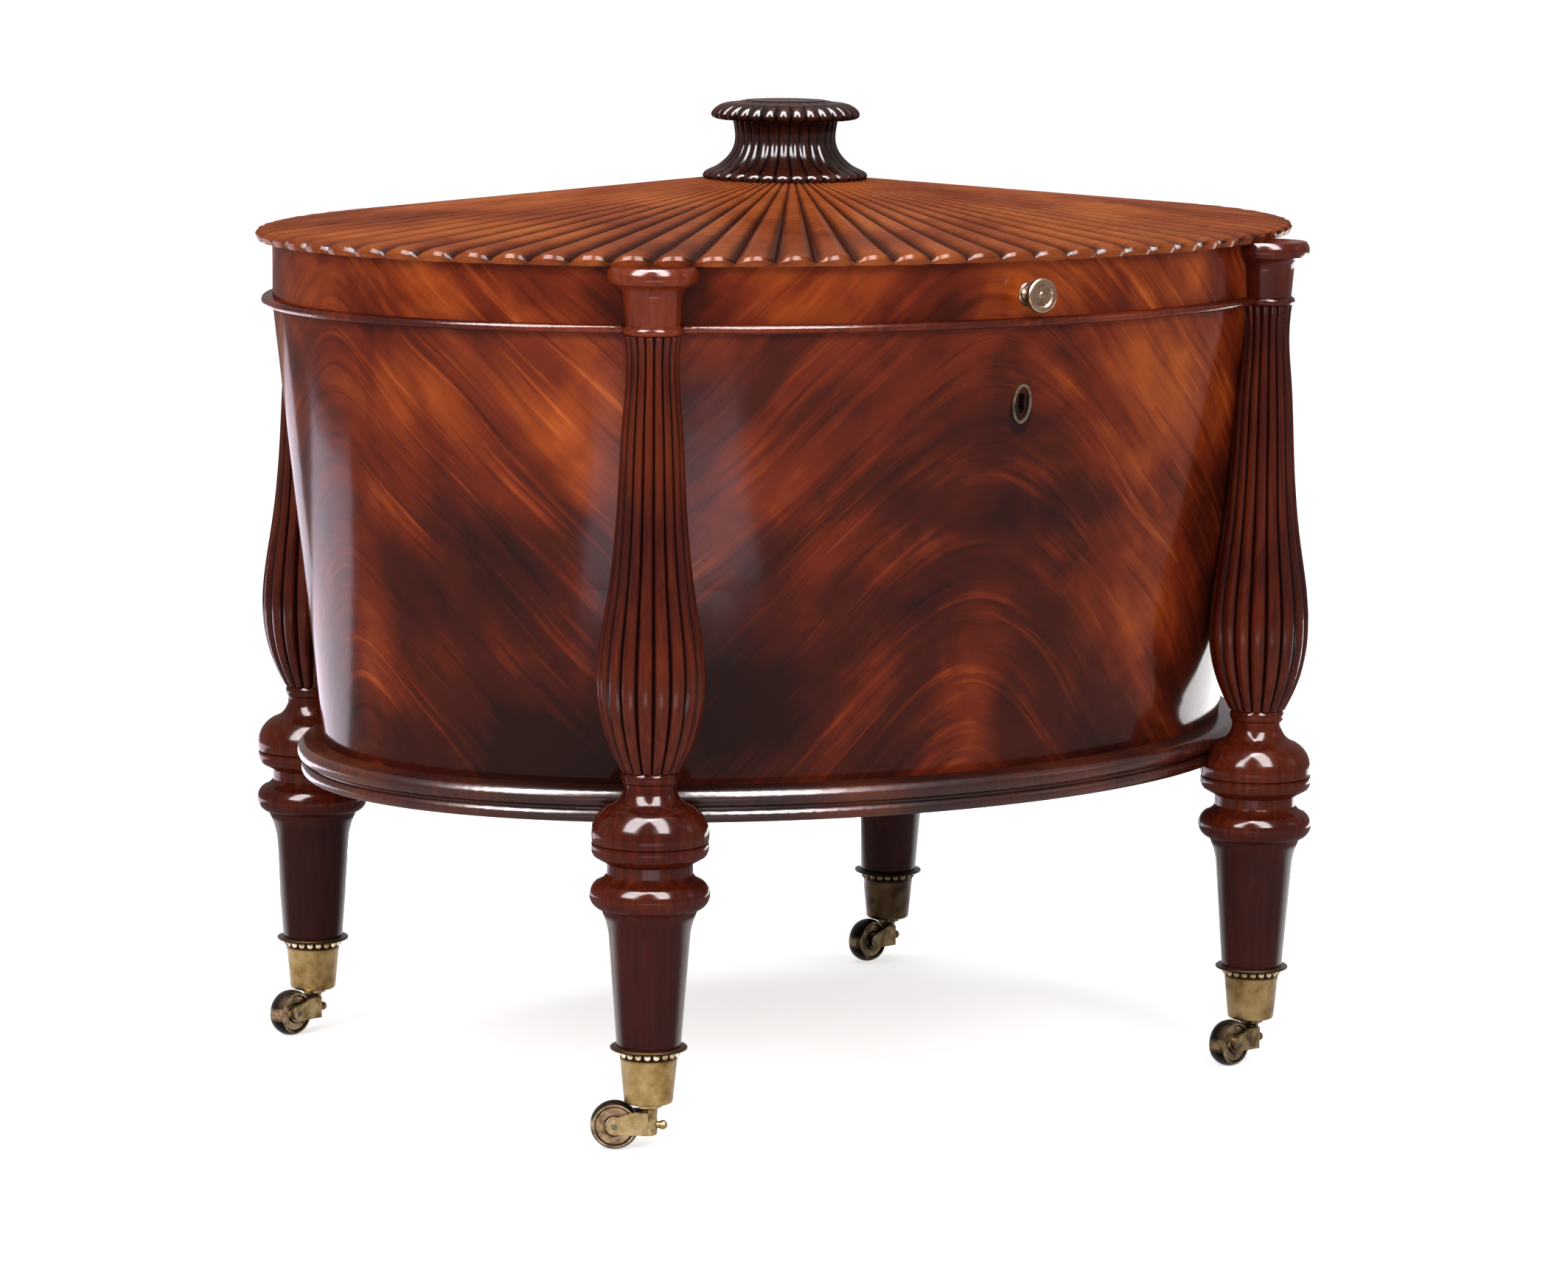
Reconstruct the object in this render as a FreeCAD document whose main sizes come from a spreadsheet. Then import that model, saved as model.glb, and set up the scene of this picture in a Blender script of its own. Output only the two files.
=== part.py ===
import FreeCAD, Part
import math
import os
import re
import Sketcher

# Oval cellarette: a tapered oval tub on four turned legs with swivel casters, closed by a
# hinged lid with a radially reeded top and a gadrooned finial.  Millimetres.
# The origin is on the floor under the middle of the oval; X runs along the width,
# the front faces -Y and Z is up.

SIZES = {
    # Tub
    "tub_top_half_width": (359, "outer half width at the joint with the lid"),
    "tub_top_half_depth": (270, "outer half depth at the joint with the lid"),
    "tub_draw": (33, "by which the wall draws in all round from its top edge to its foot"),
    "tub_top_height": (510, "top edge of the wall"),
    "tub_foot_height": (219, "foot of the wall, which is the top of the floor board"),
    "wall_thickness": (14, "veneered wall"),
    "floor_thickness": (17, "floor board"),
    "glue_gap": (0.1, "room for glue between curved wooden faces"),
    # Base moulding
    "moulding_height": (22, "from the underside of the floor board"),
    "moulding_upper_reach": (17.1, "upper bead beyond the wall"),
    "moulding_lower_reach": (14.5, "lower bead beyond the wall"),
    "moulding_quirk": (11, "reach of the sunk line between the beads"),
    "moulding_lower_bead": (7.5, "height of the lower bead"),
    "moulding_upper_bead": (11.5, "height of the upper bead"),
    "moulding_lower_swell": (1.8, "roundness of the lower bead"),
    "moulding_upper_swell": (4.4, "roundness of the upper bead"),
    "moulding_bevel": (1, "height of the sloping top"),
    "moulding_ledge": (3, "flat top beyond the wall"),
    "knop_room": (1.2, "from the turned leg to the notch in the moulding, past the swell of the knop"),
    # Liner and bottle divisions
    "liner_thickness": (1.5, "sheet zinc"),
    "liner_height": (218, "from the floor board to its rim"),
    "liner_gap": (0.5, "between liner and wall"),
    "board_thickness": (6, "division boards"),
    "board_height": (170, "division boards"),
    "board_gap": (0.5, "between boards, and between boards and liner"),
    "cell_pitch": (108, "from board to board, room for a bottle"),
    # Legs
    "leg_turn": (48.864, "bearing of a leg round the oval, in degrees from the long axis"),
    "leg_stand": (8.85, "oval on which the leg axes stand, outside the top edge of the tub"),
    "toe_radius": (14.2, "round tenon in the caster cup"),
    "foot_height": (66, "shoulder of the foot on the caster collar"),
    "foot_radius": (20.2, "foot at the caster collar"),
    "shin_height": (138, "top of the straight foot"),
    "shin_radius": (25.7, "top of the straight foot"),
    "shin_hollow": (0.5, "hollow of the flare over the straight foot"),
    "lower_knop_foot": (153, "bottom of the lower knop"),
    "lower_knop_foot_radius": (30.3, "bottom of the lower knop"),
    "lower_knop_top": (170.7, "top of the lower knop"),
    "lower_knop_top_radius": (33, "top of the lower knop"),
    "lower_knop_swell": (6, "roundness of the lower knop"),
    "lower_knop_hollow": (0.8, "hollow over the lower knop"),
    "cove_foot": (175.5, "bottom of the cove between the knops"),
    "cove_top": (182, "top of the cove between the knops"),
    "cove_radius": (27, "cove between the knops"),
    "upper_knop_foot": (186.5, "bottom of the upper knop"),
    "upper_knop_foot_radius": (34.8, "bottom of the upper knop"),
    "upper_knop_lip": (1, "roundness under the sunk line"),
    "upper_knop_quirk": (195, "sunk line round the upper knop"),
    "upper_knop_line": (0.6, "half the height of the sunk line"),
    "upper_knop_quirk_radius": (35.4, "sunk line round the upper knop"),
    "upper_knop_radius": (36.6, "edges beside the sunk line"),
    "upper_knop_top": (217.7, "top of the upper knop"),
    "upper_knop_top_radius": (26, "top of the upper knop"),
    "upper_knop_swell": (4.2, "roundness of the upper knop"),
    "neck_hollow": (2, "hollow between the upper knop and the neck"),
    "neck_foot": (228, "bottom of the neck under the column"),
    "neck_top": (232, "top of the neck under the column"),
    "neck_radius": (16.5, "neck under the column"),
    "neck_ring": (1.5, "reach of the ring on the neck"),
    "column_foot": (240, "bottom of the reeded column"),
    "column_foot_radius": (18.6, "reeded column at its foot"),
    "column_swell": (258, "where the column widens fastest"),
    "column_swell_radius": (27, "reeded column there"),
    "column_belly": (290, "widest place of the column"),
    "column_belly_radius": (33.5, "reeded column there"),
    "column_shoulder": (322, "above the belly"),
    "column_shoulder_radius": (31.5, "reeded column there"),
    "column_taper": (352, "where the column narrows fastest"),
    "column_taper_radius": (26.8, "reeded column there"),
    "column_shaft": (404, "start of the slender shaft"),
    "column_shaft_radius": (21.6, "reeded column there"),
    "column_upper": (459, "slender shaft"),
    "column_upper_radius": (18.5, "reeded column there"),
    "column_top_radius": (17.7, "reeded column at the joint with the lid"),
    "column_reeds": (18, "reeds round a column"),
    "column_reed_depth": (0.11, "depth of the valleys as a share of the radius"),
    # Casters
    "cup_collar_radius": (24.3, "flange under the shoulder of the foot"),
    "cup_collar_thickness": (1.8, "flange under the shoulder of the foot"),
    "cup_collar_round": (0.8, "roundness of the flange's edge"),
    "cup_beads": (20, "beads round the cup, under the flange"),
    "cup_bead_radius": (2.5, "bead"),
    "cup_bead_ring": (17.4, "circle through the middles of the beads"),
    "cup_bead_sink": (0.4, "beads let into the flange"),
    "cup_top_radius": (18, "cup behind the beads"),
    "cup_foot_radius": (15.4, "cup above its rounded bottom"),
    "cup_round": (2.2, "rounded edge of the bottom"),
    "cup_bottom": (29.7, "underside of the cup"),
    "cup_floor": (6.5, "thickness of the cup's bottom"),
    "cup_gap": (0.3, "between cup and tenon"),
    "pintle_radius": (3, "pin on which the caster swivels"),
    "pintle_head_radius": (5, "riveted head of the pintle"),
    "pintle_head_height": (1.8, "riveted head of the pintle"),
    "running_gap": (0.05, "radial play of a turning pin"),
    "swivel_gap": (0.3, "end play of a turning piece"),
    "horn_radius": (5.6, "stem of the horn"),
    "horn_shoulder_radius": (8.5, "shoulder of the horn under the cup"),
    "horn_shoulder_height": (2.2, "shoulder of the horn under the cup"),
    "horn_foot": (9, "underside of the horn"),
    "horn_round": (1.5, "rounded edge of the stem's foot"),
    "horn_hollow": (0.6, "hollow between the stem and its shoulder"),
    "horn_cheek": (2.4, "thickness of a cheek"),
    "horn_lift": (1, "underside of the cheeks above that of the horn"),
    "horn_eye_radius": (5, "end of a cheek round the axle"),
    "horn_web": (4, "slope of the cheeks towards the stem"),
    "horn_throat": (0.8, "between the stem and the tread of the wheel"),
    "spur_radius": (2.3, "spur behind the stem"),
    "spur_reach": (9, "middle of the spur's ball from the stem's axis"),
    "spur_ball_radius": (3, "ball at the end of the spur"),
    "caster_trail": (21, "wheel axis from the swivel axis"),
    "wheel_radius": (15.5, "brass wheel"),
    "wheel_edge_radius": (13.8, "wheel at the side of its crowned tread"),
    "wheel_width": (12, "brass wheel"),
    "wheel_hub_radius": (6, "raised hub"),
    "wheel_dish": (1.2, "depth of the dished side round the hub"),
    "wheel_rim": (2.2, "rim beside the dished side"),
    "wheel_slope": (1, "slopes at the edges of the dished side"),
    "axle_radius": (2, "axle pin"),
    # Lid
    "lid_gap": (0.4, "between tub and closed lid"),
    "frieze_height": (41.6, "oval frame of the lid"),
    "frieze_thickness": (20, "oval frame of the lid"),
    "astragal_height": (5.4, "bead along the bottom of the frieze"),
    "astragal_flat": (4.8, "flat part of the bead's section"),
    "astragal_reach": (7.4, "bead beyond the frieze"),
    "lining_thickness": (7, "board under the reeded top"),
    "rim_reach": (11.2, "tips of the reeds beyond the frieze"),
    "rim_thickness": (8.2, "crown of a reed above the frieze, near the rim"),
    "reed_count": (80, "reeds round the top"),
    "reed_depth": (5, "valley below the crown at the rim"),
    "reed_notch": (3.6, "valley inside the tips, seen from above"),
    "reed_nose": (9, "length of the rounded end of a reed"),
    "reed_undercut": (1.6, "underside of the rim inside the tips"),
    "dome_height": (36.4, "crown of the reeds at the finial, above the frieze"),
    "seat_radius": (52, "where the reeds end under the finial"),
    "seat_depth": (5, "round seat for the finial below the crowns"),
    "seat_room": (1.5, "between the seat and the plug of the finial"),
    "seat_inner_depth": (0.8, "valley below the crown at the finial"),
    # Capitals
    "capital_bead_radius": (19.2, "bead round the foot of a capital"),
    "capital_bead_height": (5, "bead round the foot of a capital"),
    "capital_bead_swell": (1.6, "roundness of the bead"),
    "capital_lip": (0.6, "small slopes over the bead and at the edges of the flange"),
    "capital_shaft_radius": (16.8, "shaft above the bead"),
    "capital_neck": (23, "where the shaft starts to flare"),
    "capital_neck_radius": (18.2, "where the shaft starts to flare"),
    "capital_flare_hollow": (1.5, "hollow of the flare"),
    "capital_flange_foot": (31, "underside of the flange"),
    "capital_flare_radius": (24.4, "top of the flare"),
    "capital_flange_radius": (26.4, "flange before its rounded edge"),
    "capital_flange_round": (1.8, "roundness of the flange's edge"),
    # Finial
    "finial_foot_radius": (54, "reeds where they stand on the lid"),
    "finial_toe": (2.6, "where the reeds reach out farthest, above the lid"),
    "finial_toe_radius": (54.8, "reeds there"),
    "finial_instep": (5.8, "where the reeds turn upwards"),
    "finial_instep_radius": (50.5, "reeds there"),
    "finial_flare": (10, "middle of the flare"),
    "finial_flare_radius": (43, "reeds there"),
    "finial_waist": (16.5, "start of the waist"),
    "finial_waist_radius": (36.8, "reeds there"),
    "finial_throat": (25, "narrowest place"),
    "finial_throat_radius": (33.6, "reeds there"),
    "finial_stem_height": (38.9, "underside of the cap above the lid"),
    "finial_stem_radius": (35, "stem under the cap"),
    "finial_reeds": (30, "reeds round the stem and lobes round the cap"),
    "finial_reed_depth": (0.035, "valleys of the stem as a share of the radius"),
    "cap_foot_radius": (44.5, "underside of the cap"),
    "cap_edge": (4.2, "widest place of the cap above its underside"),
    "cap_edge_radius": (49.4, "lobes there"),
    "cap_crown": (8.6, "where the lobes turn inwards"),
    "cap_crown_radius": (45.2, "lobes there"),
    "cap_slope": (11, "middle of the upper side of the lobes"),
    "cap_slope_radius": (38.5, "lobes there"),
    "cap_shoulder": (12.3, "where the lobes end"),
    "cap_shoulder_radius": (29.5, "lobes there"),
    "cap_lobe_depth": (0.055, "valleys between the lobes as a share of the radius"),
    "cap_button_radius": (26.5, "plain round top inside the lobes"),
    "cap_button_edge": (0.5, "upright edge of the plain top"),
    "cap_button_rise": (0.9, "dome of the plain top"),
    "finial_dowel_radius": (6, "dowel through stem, cap and top board"),
    "dowel_gap": (0.1, "radial room round a dowel"),
    # Knob and escutcheon
    "knob_drop": (20, "knob axis above the lower edge of the frieze"),
    "knob_radius": (11, "face of the knob"),
    "knob_reach": (16, "face of the knob beyond the frieze"),
    "knob_face": (4.6, "thickness of the face"),
    "knob_dish": (1, "dished middle of the face"),
    "knob_edge": (1.3, "rounded edges of the face"),
    "knob_rim": (3.4, "rim round the dished middle"),
    "knob_boss_radius": (2.6, "small boss in the middle of the face"),
    "knob_stem_radius": (4.2, "stem of the knob"),
    "knob_flare": (1.6, "by which the stem widens at its foot"),
    "knob_hollow": (0.8, "hollows of the stem"),
    "knob_neck": (3, "length of the hollow under the face"),
    "knob_stud_radius": (2.4, "threaded stud in the frieze"),
    "knob_stud_length": (14, "threaded stud in the frieze"),
    "rose_radius": (7.6, "round plate behind the knob"),
    "rose_thickness": (1.4, "round plate behind the knob"),
    "escutcheon_half_width": (7.4, "oval ring round the keyhole"),
    "escutcheon_half_height": (12.8, "oval ring round the keyhole"),
    "escutcheon_rim": (1.9, "width of the ring"),
    "escutcheon_thickness": (1.2, "oval ring round the keyhole"),
    "escutcheon_gap": (0.02, "between ring and wall"),
    "escutcheon_lift": (3, "middle of the ring above the key pin"),
    "keyhole_drop": (52, "key pin below the top edge of the wall"),
    "keyhole_radius": (2.9, "round part of the keyhole"),
    "keyhole_slot": (4, "width of the slot of the keyhole"),
    "keyhole_rise": (9.2, "slot above the key pin"),
    # Lock
    "lock_setback": (10, "outer face of the lock behind the wall's face at its top"),
    "lock_thickness": (10, "lock case"),
    "lock_half_width": (28, "lock case"),
    "lock_height": (65, "lock case"),
    "lock_gap": (0.3, "between the moving bolt and the case"),
    "face_thickness": (1.6, "plate along the top of the lock"),
    "face_half_width": (36, "plate along the top of the lock"),
    "bolt_thickness": (3, "bolt plate"),
    "bolt_travel": (7, "from open to locked"),
    "bolt_half_width": (11, "bolt plate"),
    "bolt_foot": (45, "foot of the bolt plate below the top of the wall"),
    "bolt_nose_top": (6.5, "top of the bolt's nose below the top of the wall"),
    "bolt_nose_height": (4.5, "nose of the bolt"),
    "staple_thickness": (3, "staple of the link plate"),
    "staple_width": (7, "staple of the link plate"),
    "staple_web": (1.6, "metal round the hole of the staple"),
    "staple_depth": (14, "staple below the lid"),
    "staple_gap": (0.5, "room round the staple in the lock"),
    "link_half_width": (17, "link plate"),
    "link_thickness": (1.6, "link plate"),
    "key_chamber_radius": (9.5, "room for the key inside the lock"),
    "key_post_radius": (1.4, "post on which the key turns"),
    # Hinges
    "hinge_x": (60, "middle of a hinge from the middle of the lid"),
    "hinge_half_length": (24, "leaf of a hinge"),
    "hinge_setback": (5.6, "pin behind the oval of the tub"),
    "hinge_knuckle_radius": (4.2, "knuckle of a hinge"),
    "hinge_pin_radius": (1.7, "pin of a hinge"),
    "hinge_leaf_thickness": (2, "leaf of a hinge"),
    "hinge_leaf_reach": (21.5, "front edge of a leaf from the pin"),
    "hinge_clear": (0.6, "between a leaf and the other leaf's knuckle"),
    "hinge_middle": (8, "half length of the lower leaf's knuckle"),
    # Fasteners
    "screw_head_radius": (3, "small countersunk screw"),
    "screw_radius": (1.5, "small countersunk screw"),
    "screw_length": (12, "small countersunk screw"),
    "hinge_screw_spread": (15, "screws from the middle of a leaf"),
    "hinge_screw_reach": (15.5, "screws from the pin"),
    "leg_screw_head_radius": (4.5, "long screw from the tub into a leg"),
    "leg_screw_radius": (2.5, "long screw from the tub into a leg"),
    "leg_screw_length": (32, "long screw from the tub into a leg"),
    "leg_screw_drop": (30, "long screw below the top edge of the wall"),
    "leg_dowel_radius": (4, "dowel between floor board and leg"),
    "leg_dowel_inside": (22, "length of the dowel in the floor board"),
    "leg_dowel_outside": (26, "length of the dowel in the leg"),
}

FOOT_HALF_WIDTH = "(tub_top_half_width - tub_draw)"
FOOT_HALF_DEPTH = "(tub_top_half_depth - tub_draw)"
LEG_X = "((tub_top_half_width + leg_stand) * cos(leg_turn))"
LEG_Y = "((tub_top_half_depth + leg_stand) * sin(leg_turn))"

CORNERS = {
    # name: side in X, side in Y, direction in which the wheel trails, in degrees
    "fl": (-1, -1, 145),
    "fr": (1, -1, 190),
    "bl": (-1, 1, 194),
    "br": (1, 1, 192),
}
QUARTER = "0.29"  # bulge of an edge rounded by a quarter circle, as a share of its radius
HALF = "0.92"  # bulge of a rounded end, just short of a half circle, as a share of its radius
X_AXIS = FreeCAD.Vector(1, 0, 0)
Z_AXIS = FreeCAD.Vector(0, 0, 1)

doc = FreeCAD.newDocument("cellarette")
dims = doc.addObject("Spreadsheet::Sheet", "dims")
kept = []


def fill_sheet():
    """Write every size with its name and meaning into the sheet."""
    for row, (name, (value, meaning)) in enumerate(SIZES.items(), start=1):
        dims.set(f"A{row}", name)
        dims.set(f"B{row}", str(value))
        dims.set(f"C{row}", meaning)
        dims.setAlias(f"B{row}", name)
    doc.recompute()


def formula(text):
    """Point the size names in a formula at the sheet."""
    return re.sub(r"[a-z_]+", lambda word: f"dims.{word[0]}" if word[0] in SIZES else word[0], text)


def number(text):
    """Value of a formula."""
    value = dims.evalExpression(text)
    return float(getattr(value, "Value", value))


def size(name):
    """Value of one cell of the sheet."""
    return float(dims.get(name))


def bind(thing, **formulas):
    """Tie properties to formulas; a double underscore stands for a dot."""
    for name, text in formulas.items():
        thing.setExpression(name.replace("__", "."), formula(text))


def place(thing, x="0", y="0", z="0", axis=None, angle=None):
    """Tie the place, and the turn about one axis, of a piece to formulas."""
    if axis is not None:
        thing.Placement = FreeCAD.Placement(FreeCAD.Vector(), FreeCAD.Rotation(axis, 1))
        bind(thing, Placement__Rotation__Angle=angle)
    bind(thing, Placement__Base__x=x, Placement__Base__y=y, Placement__Base__z=z)


def keep(thing, label):
    """Name a finished piece; its label names its file."""
    thing.Label = label
    kept.append(thing)
    return thing


# ---------------------------------------------------------------- outlines and turned pieces


def draw(sketch, corners):
    """Closed outline through (x, y) or (x, y, bulge) corners, counter-clockwise.

    A bulge swells the edge that leaves its corner outwards, or inwards when negative.
    """
    spots = [FreeCAD.Vector(number(c[0]), number(c[1]), 0) for c in corners]
    ends = []
    for index, corner in enumerate(corners):
        start, stop = spots[index], spots[(index + 1) % len(spots)]
        if len(corner) == 2:
            sketch.addGeometry(Part.LineSegment(start, stop), False)
            ends.append((1, 2))
            continue
        bulge = number(corner[2])
        chord = stop - start
        outward = FreeCAD.Vector(chord.y, -chord.x, 0).normalize()
        radius = chord.Length ** 2 / (8 * abs(bulge)) + abs(bulge) / 2
        centre = (start + stop) / 2 + outward * (bulge - math.copysign(radius, bulge))
        first, last = (start, stop) if bulge > 0 else (stop, start)
        turn = [math.atan2(p.y - centre.y, p.x - centre.x) for p in (first, last)]
        circle = Part.Circle(centre, Z_AXIS, radius)
        sketch.addGeometry(Part.ArcOfCircle(circle, turn[0], turn[1]), False)
        ends.append((1, 2) if bulge > 0 else (2, 1))
    for index, corner in enumerate(corners):
        after = (index + 1) % len(corners)
        tip = corners[after]
        sketch.addConstraint(Sketcher.Constraint("Coincident", index, ends[index][1], after, ends[after][0]))
        for kind, text in (("DistanceX", corner[0]), ("DistanceY", corner[1])):
            rule = Sketcher.Constraint(kind, -1, 1, index, ends[index][0], number(text))
            sketch.setExpression(f"Constraints[{sketch.addConstraint(rule)}]", formula(text))
        if len(corner) == 3:
            run = f"(({tip[0]}) - ({corner[0]}))^2 + (({tip[1]}) - ({corner[1]}))^2"
            text = f"({run}) / (8 * abs({corner[2]})) + abs({corner[2]}) / 2"
            rule = Sketcher.Constraint("Radius", index, number(text))
            sketch.setExpression(f"Constraints[{sketch.addConstraint(rule)}]", formula(text))


def dome(radius, rise):
    """Bulge of the outline of a shallow round dome, so that its arc is centred on the axis."""
    sphere = f"((({radius})^2 + ({rise})^2) / (2 * ({rise})))"
    return f"{sphere} - sqrt({sphere}^2 - (({radius})^2 + ({rise})^2) / 4)"


def outline(body, role, corners):
    """Sketch an outline on one of the body's own origin planes."""
    sketch = body.newObject("Sketcher::SketchObject", f"{body.Name}_outline")
    plane = next(item for item in body.Origin.OriginFeatures if item.Role == role)
    sketch.AttachmentSupport = [(plane, "")]
    sketch.MapMode = "FlatFace"
    draw(sketch, corners)
    return sketch


def turned(name, corners, role="XZ_Plane", axis="V_Axis"):
    """Body turned about Z, or about Y for an outline on the YZ plane and its H axis."""
    body = doc.addObject("PartDesign::Body", name)
    sketch = outline(body, role, corners)
    turning = body.newObject("PartDesign::Revolution", f"{name}_turning")
    turning.Profile = sketch
    turning.ReferenceAxis = (sketch, [axis])
    turning.Angle = 360
    return body


def padded(name, corners, thickness, role="XZ_Plane"):
    """Body of even thickness, half on each side of the outline's plane."""
    body = doc.addObject("PartDesign::Body", name)
    sketch = outline(body, role, corners)
    pad = body.newObject("PartDesign::Pad", f"{name}_pad")
    pad.Profile = sketch
    pad.SideType = "Symmetric"
    bind(pad, Length=thickness)
    return body


# ---------------------------------------------------------------- primitives and booleans


def block(name, x, y, z, low_x, low_y, low_z):
    """Box from its three lengths and its lowest corner."""
    box = doc.addObject("Part::Box", name)
    bind(box, Length=x, Width=y, Height=z)
    place(box, low_x, low_y, low_z)
    return box


def rod(name, radius, length, x="0", y="0", z="0", axis=None, angle=None):
    """Round bar from its base, upright or turned about one axis."""
    bar = doc.addObject("Part::Cylinder", name)
    bind(bar, Radius=radius, Height=length)
    place(bar, x, y, z, axis, angle)
    return bar


def oval(name, half_width, half_depth, z):
    """Level ellipse round the middle."""
    ring = doc.addObject("Part::Ellipse", name)
    bind(ring, MajorRadius=half_width, MinorRadius=half_depth)
    place(ring, z=z)
    return ring


def oval_board(name, half_width, half_depth, thickness, z):
    """Upright oval block."""
    board = doc.addObject("Part::Extrusion", name)
    board.Base = oval(f"{name}_edge", half_width, half_depth, z)
    board.Dir = Z_AXIS
    board.DirMode = "Custom"
    board.Solid = True
    bind(board, LengthFwd=thickness)
    return board


def oval_taper(name, inset, low, high):
    """Tapered oval block between two heights, its side the given distance inside the wall's face."""
    rings = []
    for end, level in (("low", low), ("high", high)):
        share = f"(({level}) - tub_foot_height) / (tub_top_height - tub_foot_height)"
        width = f"{FOOT_HALF_WIDTH} + tub_draw * {share} - ({inset})"
        depth = f"{FOOT_HALF_DEPTH} + tub_draw * {share} - ({inset})"
        rings.append(oval(f"{name}_{end}", width, depth, level))
    taper = doc.addObject("Part::Loft", name)
    taper.Sections = rings
    taper.Solid = True
    taper.Ruled = True
    return taper


def oval_bead(name, half_width, half_depth, low, high, swell):
    """Level oval disc between two heights whose edge swells out in an arc."""
    rise = f"(({high}) - ({low}))"
    radius = f"({rise}^2 / (8 * {swell}) + {swell} / 2)"
    rings = []
    for index, share in enumerate((-1, -0.87, -0.5, 0, 0.5, 0.87, 1)):
        reach = f"{swell} - {radius} + sqrt({radius}^2 - ({rise} * ({share}) / 2)^2)"
        rings.append(oval(f"{name}_{index}", f"{half_width} + {reach}", f"{half_depth} + {reach}",
                          f"{low} + {rise} * (1 + ({share})) / 2"))
    bead = doc.addObject("Part::Loft", name)
    bead.Sections = rings
    bead.Solid = True
    return bead


def joined(name, pieces):
    """One solid, or one cutter, out of several."""
    union = doc.addObject("Part::MultiFuse", name)
    union.Shapes = pieces
    return union


def cut(name, base, tools):
    """Take the tools away from the base."""
    result = doc.addObject("Part::Cut", name)
    result.Base = base
    result.Tool = tools[0] if len(tools) == 1 else joined(f"{name}_tools", tools)
    return result


def shaped(name, shape):
    """Piece whose shape is worked out from the sheet by its own function."""
    piece = doc.addObject("Part::Feature", name)
    piece.Shape = shape
    return piece


# ---------------------------------------------------------------- reeded forms


def reed_ring(radius, height, count, depth):
    """Closed ring of convex arcs; its valleys lie the given share of the radius inside."""
    edges = []
    for index in range(count):
        start, middle, stop = (2 * math.pi * (index + part) / count for part in (0, 0.5, 1))
        valley = radius * (1 - depth)
        edges.append(Part.Arc(
            FreeCAD.Vector(valley * math.cos(start), valley * math.sin(start), height),
            FreeCAD.Vector(radius * math.cos(middle), radius * math.sin(middle), height),
            FreeCAD.Vector(valley * math.cos(stop), valley * math.sin(stop), height)).toShape())
    return Part.Wire(edges)


def reeded(stations, count, depth):
    """Round reeded solid through (radius, height) stations."""
    rings = [reed_ring(radius, height, count, depth) for radius, height in stations]
    return Part.makeLoft(rings, True, False)


def rim_spots(half_width, half_depth, count):
    """Directions that part an ellipse into equal lengths, and those of the middles between them."""
    steps = 40 * count
    angles = [2 * math.pi * index / steps for index in range(steps + 1)]
    lengths = [0.0]
    for low, high in zip(angles, angles[1:]):
        middle = (low + high) / 2
        rate = math.hypot(half_width * math.sin(middle), half_depth * math.cos(middle))
        lengths.append(lengths[-1] + rate * (high - low))
    spots = []
    step = 0
    for index in range(2 * count):
        wanted = lengths[-1] * index / (2 * count)
        while lengths[step + 1] < wanted:
            step += 1
        share = (wanted - lengths[step]) / (lengths[step + 1] - lengths[step])
        spots.append(angles[step] + share * (angles[step + 1] - angles[step]))
    return spots


def reeded_top():
    """Shallow oval cone of convex reeds that run from a round seat to rounded noses at the rim."""
    count = int(size("reed_count"))
    base = size("tub_top_height") + size("lid_gap") + size("frieze_height")
    wide = size("tub_top_half_width") + size("rim_reach")
    deep = size("tub_top_half_depth") + size("rim_reach")
    notch, nose, undercut = size("reed_notch"), size("reed_nose"), size("reed_undercut")
    thick, depth = size("rim_thickness"), size("reed_depth")
    top, seat = size("dome_height"), size("seat_radius")
    spots = rim_spots(wide, deep, count)

    def rim_point(index, inset, height):
        """Point inside the rim ellipse, on the line of a valley (even) or a crown (odd)."""
        turn = spots[index % (2 * count)]
        return FreeCAD.Vector((wide - inset) * math.cos(turn), (deep - inset) * math.sin(turn), base + height)

    def seat_point(index, height):
        """Point on the round seat; the reeds are equally wide there."""
        turn = math.pi * index / count
        return FreeCAD.Vector(seat * math.cos(turn), seat * math.sin(turn), base + height)

    def reed_arcs(first):
        """Cross arcs of one reed, from the seat over the nose to the underside."""
        levels = (
            ((nose, thick - depth), (nose, thick)),
            ((notch + 1.4, thick - depth - 0.5), (1.6, thick - 1.7)),
            ((notch, (thick - depth) / 2), (0, thick / 2)),
            ((notch + undercut, 0), (undercut, 0)),
        )
        valley_top, crown_top = top - size("seat_inner_depth"), top
        arcs = [Part.Arc(seat_point(first, valley_top), seat_point(first + 1, crown_top),
                         seat_point(first + 2, valley_top)).toShape()]
        for valley, crown in levels:
            arcs.append(Part.Arc(rim_point(first, *valley), rim_point(first + 1, *crown),
                                 rim_point(first + 2, *valley)).toShape())
        return arcs

    faces, under, floor = [], [], []
    low = top - size("seat_depth")
    for reed in range(count):
        arcs = reed_arcs(2 * reed)
        faces += [Part.makeRuledSurface(one, two) for one, two in zip(arcs, arcs[1:])]
        chord = Part.makeLine(seat_point(2 * reed, low), seat_point(2 * reed + 2, low))
        faces.append(Part.makeRuledSurface(chord, arcs[0]))
        floor.append(chord)
        under.append(arcs[-1])
    faces.append(Part.Face(Part.Wire(under)))
    faces.append(Part.Face(Part.Wire(floor)))
    shell = Part.makeShell([face for shape in faces for face in shape.Faces])
    shell.sewShape()
    solid = Part.makeSolid(Part.Shell(shell.Faces))
    if solid.Volume < 0:
        solid.reverse()
    return solid


# ---------------------------------------------------------------- fasteners


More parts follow.
